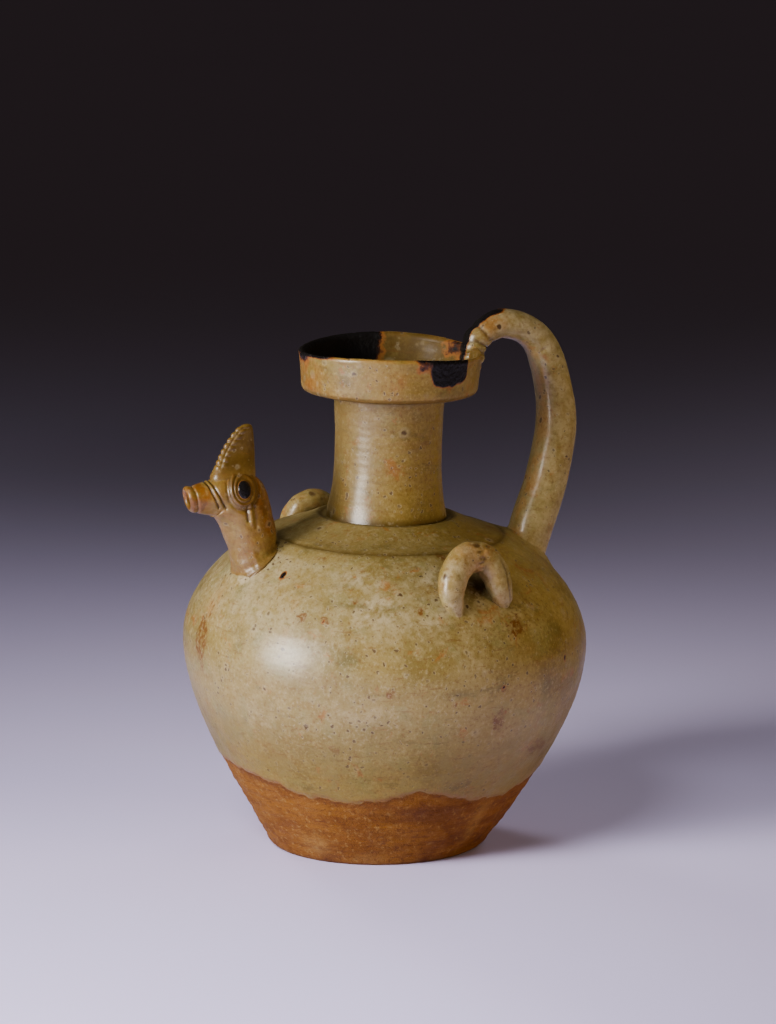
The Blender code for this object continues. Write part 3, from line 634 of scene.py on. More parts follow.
def handle_piece(material):
    """The coil handle: ovals along its path, flared into the shoulder, with pulled
    ridges along it and a pinched, folded end on the rim."""
    radius, height, half, azimuth = curve(handle_rows(), HANDLE_RINGS).T
    heading = np.degrees(np.arctan2(np.gradient(height), np.gradient(radius)))
    above = height - shoulder_height(HANDLE_FOOT_RADIUS)
    near = np.clip(1.0 - above / (3.0 * HANDLE_FLARE), 0.0, 1.0)
    tilt = (-90.0 - heading) * (1.0 - near) + shoulder_slope(HANDLE_FOOT_RADIUS) * near
    across, side = tipped(flat_way(azimuth), tilt), flat_way(azimuth + 90.0)
    grow = flare(np.maximum(above, 0.0) + FLARE_SINK, HANDLE_FLARE)
    centre = polar(azimuth, radius - 0.5 * grow, height)
    thick, broad = half + 0.5 * grow, half * HANDLE_BROADNESS + grow
    grid = oval(centre, across * thick[:, None], side * broad[:, None], HANDLE_SIDES)
    grid = settle(grid, HANDLE_FOOT_RADIUS, above, HANDLE_FLARE)
    share, angle = along_and_round(grid)
    above, height = above[:, None], height[:, None]
    pinch = smooth(share, 0.24, 0.08)
    relief = 0.00018 * uneven(grid, 0.030, 21) + 0.00007 * uneven(grid, 0.010, 22)
    relief += 0.00010 * np.sin(3.0 * angle + 2.0 * share + 0.7) * (1.0 - pinch)
    fold = np.sin(angle + 190.0 * share + 1.2 * uneven(grid, 0.012, 23))
    folded = smooth(share, 0.17, 0.12) * smooth(share, 0.005, 0.05)
    relief += folded * 0.00026 * (fold - 0.5 * fold ** 2)
    relief -= 0.0006 * bell(share - 0.36, 0.006) * bell(angle - 4.4, 0.25)
    grid = pushed(grid, relief * smooth(above, -0.0004, 0.0010))
    ragged = 0.14 * uneven(grid, 0.007, 25)
    splash = smooth(np.cos(angle - 0.42) + ragged, 0.50, 0.88) * (height > RIM_HEIGHT - 0.013)
    burnt = smooth(share, 0.22, 0.17) * smooth(share, 0.10, 0.15) * smooth(np.cos(angle + 0.9), 0.55, 0.9)
    rubbed = smooth(np.cos(angle - 3.55), 0.80, 0.97)
    marks = {
        "above_edge": ALL_GLAZED,
        "iron": smooth(share, 0.24, 0.17) * splash,
        "thin": 0.9 * rubbed * (1.0 - pinch) + 0.8 * pinch * smooth(fold, -0.1, 0.8),
        "pooled_glaze_and_shade": smooth(above, 0.0018, 0.0002) * 0.7,
        "rust": 0.6 * burnt + 0.7 * smooth(share, 0.05, 0.02),
        "umber": smooth(share, 0.17, 0.12) * smooth(fold, -0.35, -0.90) * 0.8,
        "warm": 0.20 + 0.30 * smooth(share, 0.35, 0.50),
        # The pale patch on the upper side of the coil, high on the handle, is a painted highlight where
        # light falls from above.
        "pale": 0.95 * bell(share - 0.26, 0.10) * smooth(np.cos(angle), -0.8, 0.2)
        + 0.46 * smooth(share, 0.30, 0.45),
    }
    return make_piece("handle", lean(grid), material, marks)


def spout_rows():
    """Reach, height above the foot, tilt and two half widths along the bird's neck,
    head and beak, then back down the bore. Lengths are shares of the spout's height."""
    slope = shoulder_slope(SPOUT_FOOT_RADIUS)
    beak = BEAK_RADIUS / SPOUT_HEIGHT
    tip = 0.322 + BEAK_LENGTH / SPOUT_HEIGHT
    outer = [
        (0.000, -BURIED / SPOUT_HEIGHT, slope, 0.182, 0.182),
        (0.000, 0.020, slope, 0.182, 0.182),
        (0.004, 0.070, slope * 0.8, 0.182, 0.184),
        (0.011, 0.145, slope * 0.6, 0.183, 0.184),
        (0.032, 0.215, 17.0, 0.186, 0.178),
        (0.057, 0.285, 14.0, 0.190, 0.172),
        (0.090, 0.370, 20.0, 0.202, 0.165),
        (0.138, 0.446, 32.0, 0.215, 0.164),
        (0.202, 0.492, 56.0, 0.195, 0.150),
        (0.267, 0.482, 74.0, 0.166, 0.134),
        (0.322, 0.462, 88.0, beak * 1.45, beak * 1.40),
        (0.370, 0.459, 94.0, beak * 1.30, beak * 1.27),
        (0.430, 0.458, 98.0, beak * 1.12, beak * 1.10),
        (tip - 0.040, 0.458, 101.0, beak * 1.03, beak * 1.02),
        (tip - 0.016, 0.458, 103.0, beak * 1.02, beak * 1.01),
        (tip, 0.458, 104.0, beak * 0.86, beak * 0.86),
    ]
    bore = [
        (tip - 0.006, 0.458, 104.0, beak * 0.66, beak * 0.66),
        (tip - 0.030, 0.458, 102.0, beak * 0.57, beak * 0.57),
        (0.400, 0.458, 95.0, beak * 0.55, beak * 0.55),
        (0.322, 0.460, 88.0, beak * 0.55, beak * 0.55),
        (0.213, 0.484, 62.0, 0.064, 0.064),
        (0.100, 0.352, 24.0, 0.080, 0.080),
        (0.020, 0.075, 10.0, 0.080, 0.080),
        (-0.006, -0.020, 10.0, 0.080, 0.080),
    ]
    return outer + bore


def spout_base():
    """The spout's foot on the shoulder, and the level ways that its head faces and
    that lies a quarter turn on."""
    foot = polar(SPOUT_AZIMUTH, SPOUT_FOOT_RADIUS, shoulder_height(SPOUT_FOOT_RADIUS))
    return foot, flat_way(HEAD_AZIMUTH), flat_way(HEAD_AZIMUTH + 90.0)


def head_place(points):
    """Reach from the spout's foot along the head's own direction, and height above
    that foot, both in millimetres, and the side offset."""
    foot, way, side = spout_base()
    from_foot = points - foot
    return from_foot @ way / MM, from_foot[..., 2] / MM, from_foot @ side / MM


def line_bell(x, z, start, end, width):
    """Bell of the distance to a straight stroke from start to end, all in millimetres."""
    a, b = np.array(start), np.array(end)
    step = b - a
    share = np.clip(((x - a[0]) * step[0] + (z - a[1]) * step[1]) / (step @ step), 0.0, 1.0)
    return bell(np.hypot(x - a[0] - share * step[0], z - a[1] - share * step[1]), width)


def eye_place(x, z):
    """Distance from the eye's middle on its upright oval, and how strongly a point
    lies on the line coiled round it, which steps outward by one pitch a turn."""
    dx, dz = x - EYE[0], (z - EYE[1]) * 0.80
    away, turn = np.hypot(dx, dz), np.arctan2(dz, dx)
    phase = away / COIL_PITCH - turn / math.tau
    coil = bell(((phase + 0.5) % 1.0 - 0.5) * COIL_PITCH, 0.34)
    return away, coil * smooth(away, 2.6, 3.1) * smooth(away, 6.5, 6.1)


def strokes(x, z):
    """The two cut strokes between beak and cheek: bells of the distance to bent lines,
    each given by its top, bend and foot."""
    return [
        np.maximum(line_bell(x, z, top, bend, width), line_bell(x, z, bend, foot, width))
        for top, bend, foot, width in (
            ((20.4, 33.0), (18.3, 27.1), (15.9, 21.6), 0.36),
            ((19.3, 33.4), (16.1, 26.7), (13.4, 21.4), 0.34),
        )
    ]


def head_relief(x, z, y):
    """Carving of the head in millimetres: strokes round the beak, the eye on its low
    pad with a coiled line, and the folds under it."""
    side = smooth(np.abs(y), 1.5, 4.0)
    first, second = strokes(x, z)
    relief = -0.55 * first - 0.50 * second + 0.22 * line_bell(x, z, (19.8, 33.0), (14.6, 21.6), 0.5)
    relief += 0.16 * line_bell(x, z, (26.6, 31.5), (23.6, 19.0), 1.3)
    relief -= 0.34 * line_bell(x, z, (25.2, 31.5), (22.6, 19.0), 0.42)
    away, coil = eye_place(x, z)
    pad = 0.75 * smooth(away, 6.3, 4.9) + 0.65 * bell(away, 1.9) - 0.35 * bell(away - 2.7, 0.45)
    relief += side * (pad - 0.42 * coil - 0.30 * bell(away - 6.5, 0.5))
    relief -= 0.60 * side * line_bell(x, z, (5.8, 21.4), (5.1, 16.8), 0.5)
    relief += 0.55 * side * line_bell(x, z, (4.3, 22.5), (3.6, 16.0), 0.8)
    relief -= 0.45 * side * line_bell(x, z, (2.7, 22.0), (1.8, 14.5), 0.7)
    return relief


def spout_piece(material):
    """Bird's neck, head and beak as one closed skin with the way through it."""
    line = np.array(spout_rows(), float)
    fine = through(line, np.linspace(0.0, len(line) - 1.0, 30 * len(line)))
    turning = int(np.argmax(fine[:, 0]))
    skin, bore = evenly(fine[: turning + 1], SPOUT_RINGS), evenly(fine[turning:], SPOUT_BORE_RINGS)
    reach, height, tilt, long, wide = np.vstack([skin, bore[1:]]).T
    above = height * SPOUT_HEIGHT
    start = int(np.argmax(reach))
    order = np.arange(len(reach))[:, None]
    grow = flare(np.maximum(above, 0.0) + FLARE_SINK, SPOUT_FLARE) * (order[:, 0] < start)
    base, way, side = spout_base()
    centre = base + way * (reach * SPOUT_HEIGHT)[:, None] + UP * above[:, None]
    long, wide = (long * SPOUT_HEIGHT + grow)[:, None], (wide * SPOUT_HEIGHT + grow)[:, None]
    grid = oval(centre, tipped(way, tilt) * long, side * wide, SPOUT_SIDES, 2.0)
    settled = settle(grid, SPOUT_FOOT_RADIUS, above, SPOUT_FLARE)
    grid = np.where((order < start)[..., None], settled, grid)
    above, carved = above[:, None], order < start + 2
    x, z, y = head_place(grid)
    shown = carved * smooth(above, -0.0004, 0.0012)
    soft = 0.00020 * uneven(grid, 0.018, 31) + 0.00011 * uneven(grid, 0.006, 32)
    luted = 0.00025 * uneven(grid, 0.0065, 33) + 0.00012 * uneven(grid, 0.003, 34)
    relief = shown * (soft + smooth(above, 0.0100, 0.0030) * luted)
    grid = pushed(grid, MM * head_relief(x, z, y) * carved + relief)
    away, coil = eye_place(x, z)
    side_on = smooth(np.abs(y), 2.0, 4.5)
    beak = smooth(x + 0.4 * (z - 27.0), 18.2, 19.6)
    nape = smooth(x - 0.36 * (z - 27.0), 6.0, -2.0) * smooth(z, 6.0, 14.0) * smooth(z, 38.0, 31.0)
    behind = side_on * smooth(x - EYE[0], 2.4, -1.6) * smooth(away, 6.8, 5.8)
    tear = side_on * 0.8 * line_bell(x, z, (5.8, 21.4), (5.1, 16.8), 0.5)
    ridge = (away / COIL_PITCH - np.arctan2(z - EYE[1], x - EYE[0]) / math.tau) % 1.0 - 0.5
    marks = {
        "above_edge": ALL_GLAZED, "warm": 1.0, "inside": order > start + 4,
        "iron": side_on * smooth(away, 2.80, 2.25),
        "rust": np.clip(0.30 + beak * 0.95 + nape * 1.3, 0.0, 1.0),
        "umber": np.maximum.reduce([*strokes(x, z), side_on * coil, behind, tear]),
        "stain": 0.50 * nape + 0.55 * beak * smooth(z, 29.0, 22.0)
        + 0.40 * side_on * smooth(away, 6.6, 5.6) * (1.0 - 0.6 * coil),
        "dark": 0.36 + 0.30 * side_on * smooth(away, 7.2, 5.8),
        "thin": 0.8 * side_on * smooth(away, 6.6, 6.2) * bell(ridge, 0.16)
        + 0.5 * smooth(x, 25.0, 26.5) + 0.7 * smooth(x, 11.0, 13.0) * (1.0 - beak),
        "pooled_glaze_and_shade": smooth(above, 0.0022, 0.0) * 0.55,
        "pale": smooth(z, 22.0, 8.0) * smooth(x, 4.0, 10.0) * 0.35,
    }
    return make_piece("bird_head_spout", lean(grid), material, marks, loop=True)


def comb_piece(material):
    """The comb: a thin fin of ovals up its height, thick at its root, with two rows of
    pressed beads along its front edge. Its rows give level, back and front as shares
    of the spout's height, and thickness in units of 3 mm."""
    rows = [
        (0.550, 0.000, 0.304, 3.0), (0.620, -0.004, 0.327, 3.2), (0.690, 0.002, 0.300, 2.2),
        (0.770, 0.005, 0.267, 1.35), (0.850, 0.010, 0.221, 1.08), (0.925, 0.018, 0.166, 0.95),
        (0.965, 0.030, 0.118, 0.75), (0.978, 0.050, 0.085, 0.35),
    ]
    level, back, front, thick = curve(rows, COMB_RINGS, 3).T
    base, way, side = spout_base()
    middle = 0.5 * (back + front) * SPOUT_HEIGHT
    centre = base + way * middle[:, None] + UP * (level * SPOUT_HEIGHT)[:, None]
    half, wide = 0.5 * (front - back) * SPOUT_HEIGHT, 0.5 * thick * 0.0030
    across = tipped(way, COMB_TILT)
    grid = oval(centre, across * half[:, None], side * wide[:, None], COMB_SIDES, 2.4)
    x, z, _ = head_place(grid)
    inset = np.interp(z, level * SPOUT_HEIGHT / MM, front * SPOUT_HEIGHT / MM) - x
    held = smooth(z, 34.5, 37.5) * smooth(z, 51.5, 50.5)
    bead = np.abs(np.sin(math.pi * z / BEAD_PITCH)) ** 0.7
    bead_two = np.abs(np.sin(math.pi * (z + 1.0) / BEAD_PITCH)) ** 0.7
    relief = 0.55 * (bead - 0.75) * bell(inset - 0.5, 0.9)
    relief += 0.42 * (bead_two - 0.55) * bell(inset - 3.2, 0.9) - 0.30 * bell(inset - 1.9, 0.5)
    grid = pushed(grid, MM * (held * relief + 0.10 * uneven(grid, 0.008, 41)))
    marks = {
        "above_edge": ALL_GLAZED, "warm": 1.0, "rust": 0.30 * smooth(z, 40.0, 33.0),
        "thin": 0.7 * held * (bell(inset - 0.5, 0.9) * bead + 0.8 * bell(inset - 3.2, 0.8) * bead_two),
        "dark": 0.66 + 0.34 * smooth(z, 32.5, 37.0) * smooth(inset, 1.2, 3.0),
    }
    return make_piece("comb", lean(grid), material, marks)


# Path of a lug: place along its span, height, thickness, and how far it is sunk, as
# shares of the half span, the lug's height, its half thickness and its thickness
LUG_ROWS = [
    (-0.80, -0.26, 0.16, 0.30), (-0.99, 0.00, 0.48, 0.16), (-1.13, 0.28, 0.82, 0.04),
    (-1.12, 0.50, 1.00, 0.00), (-0.86, 0.74, 1.06, 0.00), (-0.42, 0.93, 1.10, 0.00),
    (0.06, 0.975, 1.12, 0.00), (0.50, 0.88, 1.08, 0.00), (0.76, 0.64, 0.98, 0.00),
    (0.84, 0.40, 0.86, 0.00), (0.98, 0.16, 0.66, 0.12), (1.14, -0.06, 0.28, 0.34),
]


def lug_piece(name, azimuth, size, material, seed):
    """An arched loop: ovals along an arch, both tips drawn out and pressed down into
    the shoulder, with folds where the coil was bent and pressed."""
    span, rise, half = 0.5 * LUG_SPAN * size, LUG_HEIGHT * size, 0.5 * LUG_THICKNESS * size
    along, up, thick, sink = curve(LUG_ROWS, LUG_RINGS).T
    out, sideways = flat_way(azimuth), flat_way(azimuth + 90.0)
    upward = tipped(out, -90.0 - LUG_LEAN)
    level = np.cross(upward, sideways)
    heading = np.stack([np.gradient(along) * span, np.gradient(up) * rise], 1)
    heading /= np.linalg.norm(heading, axis=1, keepdims=True)
    across = -sideways * heading[:, 1:] + upward * heading[:, :1]
    foot = polar(azimuth, LUG_FOOT_RADIUS, shoulder_height(LUG_FOOT_RADIUS))
    centre = foot + sideways * (along * span)[:, None] + upward * (up * rise)[:, None]
    centre = centre - out * (sink * 2.0 * half)[:, None]
    coil = (thick * half)[:, None]
    grid = oval(centre, across * coil, level * coil * 0.95, LUG_SIDES)
    share, angle = along_and_round(grid)
    crown = bell(share - 0.58, 0.09)
    scar = np.clip(uneven(grid * [2.0, 2.0, 3.0], 0.0075, seed + 2), -1.0, 1.0)
    relief = 0.00022 * uneven(grid, 0.012, seed) + 0.00010 * uneven(grid, 0.005, seed + 1)
    relief += crown * 0.00055 * scar * np.abs(scar) * smooth(np.cos(angle - 4.2), -0.3, 0.5)
    leg = smooth(share, 0.70, 0.78) * smooth(share, 0.99, 0.94)
    groove = leg * bell(np.sin(angle - 5.35), 0.17) * (np.cos(angle - 5.35) > 0)
    fold = leg * bell(np.sin(angle - 5.85), 0.25) * (np.cos(angle - 5.85) > 0)
    grid = pushed(grid, relief + 0.0006 * fold - 0.0011 * groove)
    left = smooth(share, 0.60, 0.40) * smooth(np.cos(angle - 4.0), -0.6, 0.2)
    right = leg * smooth(np.cos(angle - 4.7), 0.3, 0.9)
    rubbed = smooth(np.cos(angle - 3.6), 0.5, 1.0)
    marks = {
        # Darker olive on the side of the coil that faces the shoulder: pooled glaze, and painted shade in
        # the lug's hole.
        "above_edge": ALL_GLAZED, "warm": 0.25, "pooled_glaze_and_shade": smooth(np.sin(angle), 0.3, 0.9) * 0.5,
        "thin": 0.15 + 0.4 * rubbed + 0.8 * crown * smooth(scar, 0.0, 0.5),
        "pale": 0.6 * left + 0.4 * right,
        "umber": np.clip(crown * smooth(scar, -0.25, -0.7) + 0.9 * groove, 0.0, 1.0),
        "rust": 0.40 * bell(share - 0.50, 0.16) * smooth(np.cos(angle - 4.2), -0.6, 0.4),
    }
    return make_piece(name, lean(grid), material, marks)


# Colours, linear red, green and blue
OLIVE = (0.138, 0.100, 0.024, 1.0)
KHAKI = (0.202, 0.150, 0.049, 1.0)
GREY_GREEN = (0.168, 0.148, 0.058, 1.0)
HONEY = (0.171, 0.107, 0.024, 1.0)
BUFF = (0.245, 0.193, 0.081, 1.0)
PALE = (0.323, 0.265, 0.159, 1.0)
TAN = (0.263, 0.158, 0.054, 1.0)
RUST = (0.217, 0.078, 0.011, 1.0)
BROWN = (0.112, 0.048, 0.008, 1.0)
UMBER = (0.041, 0.017, 0.004, 1.0)
DARK_GREEN = (0.080, 0.064, 0.016, 1.0)
DARK_OLIVE = (0.064, 0.038, 0.006, 1.0)
RED_BROWN = (0.060, 0.016, 0.004, 1.0)
IRON_BLACK = (0.006, 0.005, 0.005, 1.0)
CLAY = (0.159, 0.060, 0.005, 1.0)
DEEP_CLAY = (0.116, 0.039, 0.003, 1.0)
BURNT_CLAY = (0.072, 0.019, 0.003, 1.0)
FLOOR_COOL = (0.610, 0.540, 0.835, 1.0)
FLOOR_PALE = (0.640, 0.570, 0.865, 1.0)
DIM_STUDIO = (0.027, 0.022, 0.017, 1.0)

# Tints, which other colours are multiplied by
# WARM also serves as painted shade where the warm mark is strong, on the side away from the key light.
WARM = (0.90, 0.76, 0.42, 1.0)
LOW_WALL = (0.70, 0.63, 0.27, 1.0)

# Specks of three sizes: cells to the metre, size of the largest, and strength
SPECKS = ((105.0, 0.165, 0.95), (180.0, 0.215, 0.9), (430.0, 0.33, 0.75))


class Shader:
    """Short ways to add and join the nodes of one material."""

    def __init__(self, name):
        self.material = bpy.data.materials.new(name)
        self.material.use_nodes = True
        self.tree = self.material.node_tree
        self.surface = self.tree.nodes["Principled BSDF"]

    def put(self, socket, value):
        """Join a node's output to a socket, or set the socket's own value."""
        if isinstance(value, bpy.types.NodeSocket):
            self.tree.links.new(value, socket)
        else:
            socket.default_value = value

    def finish(self, **values):
        """Set or join inputs of the surface, named as in Blender with underscores."""
        for key, value in values.items():
            self.put(self.surface.inputs[key.replace("_", " ")], value)

    def node(self, kind, output=0, settings=(), **inputs):
        """A node of a kind, with its settings and inputs; gives back one output."""
        node = self.tree.nodes.new(kind)
        for key, value in dict(settings).items():
            setattr(node, key, value)
        for key, value in inputs.items():
            self.put(node.inputs[key], value)
        return node.outputs[output]

    def mark(self, name):
        """A number kept on the mesh's points."""
        return self.node("ShaderNodeAttribute", 2, {"attribute_name": name})

    def math(self, operation, a, b=0.0, clamp=False, kind="ShaderNodeMath"):
        """Arithmetic on two values, or on two vectors."""
        node = self.tree.nodes.new(kind)
        node.operation = operation
        if clamp:
            node.use_clamp = True
        self.put(node.inputs[0], a)
        self.put(node.inputs[1], b)
        return node.outputs[0]

    def times(self, a, b):
        """Product of two values."""
        return self.math("MULTIPLY", a, b)

    def plus(self, a, b):
        """Sum of two values."""
        return self.math("ADD", a, b)

    def less(self, a, b):
        """The first value less the second."""
        return self.math("SUBTRACT", a, b)

    def swing(self, noise, size):
        """Noise made to swing about zero, by up to half a size each way."""
        return self.times(self.less(noise, 0.5), size)

    def mix(self, share, a, b, blend="MIX"):
        """Colour a turned into colour b by a share."""
        node = self.tree.nodes.new("ShaderNodeMix")
        node.data_type, node.blend_type, node.clamp_factor = "RGBA", blend, True
        self.put(node.inputs[0], share)
        self.put(node.inputs[6], a)
        self.put(node.inputs[7], b)
        return node.outputs[2]

    def coats(self, colour, *coats):
        """Colour with coats laid over it in turn, each by its share and colour."""
        for share, coat in coats:
            colour = self.mix(share, colour, coat)
        return colour

    def tinted(self, share, colour, tint):
        """Colour multiplied by a tint, by a share."""
        return self.mix(share, colour, self.mix(1.0, colour, tint, "MULTIPLY"))

    def step(self, value, low, high, start=0.0, end=1.0):
        """Smooth step of a value from start to end."""
        step = self.node("ShaderNodeMapRange", 0, {"interpolation_type": "SMOOTHSTEP"}, Value=value)
        for socket, number in zip(step.node.inputs[1:5], (low, high, start, end)):
            socket.default_value = number
        return step

    def stretched(self, place, upright):
        """Place with its height multiplied, so that noise on it lies flat."""
        return self.node("ShaderNodeMapping", Vector=place, Scale=(1.0, 1.0, upright))

    def noise(self, place, scale, detail=3.0, roughness=0.55, distortion=0.0):
        """Cloudy noise, of scale features to the metre."""
        shape = {"Scale": scale, "Detail": detail, "Roughness": roughness, "Distortion": distortion}
        return self.node("ShaderNodeTexNoise", Vector=place, **shape)

    def cells(self, place, scale, output=0):
        """Distance to the nearest scattered point, or that point's own colour."""
        return self.node("ShaderNodeTexVoronoi", output, Vector=place, Scale=scale)


def glaze_colour(s, place, patch, fine):
    """Glaze: olive and khaki clouds, grey-green patches, flat honey streaks and green
    smears, buff grain, then the marks of the pieces, blots and grit, one over another."""
    grit, cloud = s.noise(place, 850.0, 3.0, 0.6), s.noise(place, 24.0, 4.0)
    streak = s.noise(s.stretched(place, 4.0), 60.0, 4.0, 0.6)
    smear = s.noise(s.stretched(place, 2.6), 44.0, 6.0, 0.72, 0.7)
    dash = s.noise(s.stretched(place, 7.0), 75.0, 5.0, 0.7)
    stain = s.step(s.plus(s.mark("stain"), s.swing(fine, 1.6)), 0.20, 0.46)
    colour = s.coats(
        s.mix(s.step(cloud, 0.32, 0.60), OLIVE, KHAKI),
        (s.step(patch, 0.50, 0.66, 0.0, 0.75), GREY_GREEN),
        (s.step(streak, 0.50, 0.68, 0.0, 0.50), HONEY),
        (s.step(smear, 0.55, 0.68, 0.0, 0.60), DARK_GREEN),
        (s.step(fine, 0.46, 0.66, 0.0, 0.50), BUFF),
        (s.times(s.mark("pale"), s.step(fine, 0.30, 0.66)), PALE),
        (s.times(s.mark("green"), s.step(patch, 0.35, 0.55)), DARK_GREEN),
        (s.times(s.mark("thin"), s.step(s.noise(place, 180.0, 4.0), 0.38, 0.56)), TAN),
        (s.times(s.mark("rust"), s.step(s.noise(place, 150.0, 4.0), 0.32, 0.56)), RUST),
        (s.times(s.mark("umber"), s.step(fine, 0.36, 0.50, 0.35, 0.85)), UMBER),
        (s.times(stain, s.step(s.noise(place, 520.0, 3.0), 0.40, 0.56, 0.35, 1.0)), BROWN),
        (s.step(s.noise(place, 105.0, 6.0, 0.7, 0.6), 0.58, 0.68, 0.0, 0.65), RUST),
        (s.step(grit, 0.52, 0.74, 0.0, 0.45), PALE),
        (s.step(grit, 0.46, 0.30, 0.0, 0.55), BROWN),
        (s.times(s.mark("dark"), s.step(fine, 0.38, 0.62, 1.0, 0.85)), DARK_OLIVE),
        # Dark olive where glaze pools, and painted shade behind and inside the lugs' holes.
        (s.times(s.mark("pooled_glaze_and_shade"), 0.85), DARK_OLIVE),
    )
    colour = s.tinted(s.mark("warm"), colour, WARM)
    return s.mix(s.step(dash, 0.59, 0.68, 0.0, 0.55), colour, BROWN)


def add_specks(s, place, colour):
    """Dark specks with faint pale rims, round the points of three cell patterns and
    sparser where a cloud is thin. Gives back the colour and the finest specks."""
    drift = s.node("ShaderNodeTexNoise", 1, Vector=place, Scale=500.0, Detail=2.0)
    drift = s.math("MULTIPLY", drift, (0.0020, 0.0020, 0.0020), kind="ShaderNodeVectorMath")
    bent = s.math("ADD", place, drift, kind="ShaderNodeVectorMath")
    loose = s.step(s.noise(place, 55.0, 3.0, 0.6), 0.34, 0.56, 0.40, 1.0)
    for scale, top, share in SPECKS:
        size = s.node("ShaderNodeSeparateColor", Color=s.cells(bent, scale, 1))
        near = s.plus(s.cells(bent, scale), s.times(size, 0.50))
        speck = s.times(s.step(near, top, top - 0.09), loose)
        colour = s.mix(s.step(near, top + 0.14, top, 0.0, 0.22), colour, PALE)
        colour = s.mix(s.times(speck, share), colour, UMBER)
    return colour, speck


def clay_colour(s, place, fine):
    """Bare clay: flat dark bands, burnt patches, scrape lines, pale and dark grit, and
    the marks of stained and rubbed places."""
    scrape = s.noise(s.stretched(place, 12.0), 45.0, 6.0, 0.7)
    band = s.noise(s.stretched(place, 4.0), 46.0, 5.0, 0.6)
    clay = s.coats(
        s.mix(s.step(band, 0.40, 0.62), CLAY, DEEP_CLAY),
        (s.step(s.noise(place, 60.0, 5.0, 0.6, 0.5), 0.56, 0.72, 0.0, 0.7), BURNT_CLAY),
        (s.step(scrape, 0.52, 0.66, 0.0, 0.6), CLAY),
        (s.step(scrape, 0.44, 0.34, 0.0, 0.55), BURNT_CLAY),
        (s.step(s.noise(place, 520.0, 4.0, 0.65), 0.52, 0.72, 0.0, 0.5), TAN),
        (s.step(s.noise(place, 380.0, 4.0, 0.65), 0.48, 0.32, 0.0, 0.6), BURNT_CLAY),
        (s.times(s.mark("stain"), s.step(fine, 0.34, 0.54, 0.45, 0.95)), BURNT_CLAY),
        (s.times(s.mark("thin"), s.step(fine, 0.40, 0.56, 0.3, 0.9)), TAN),
    )
    return s.tinted(s.mark("warm"), clay, WARM)


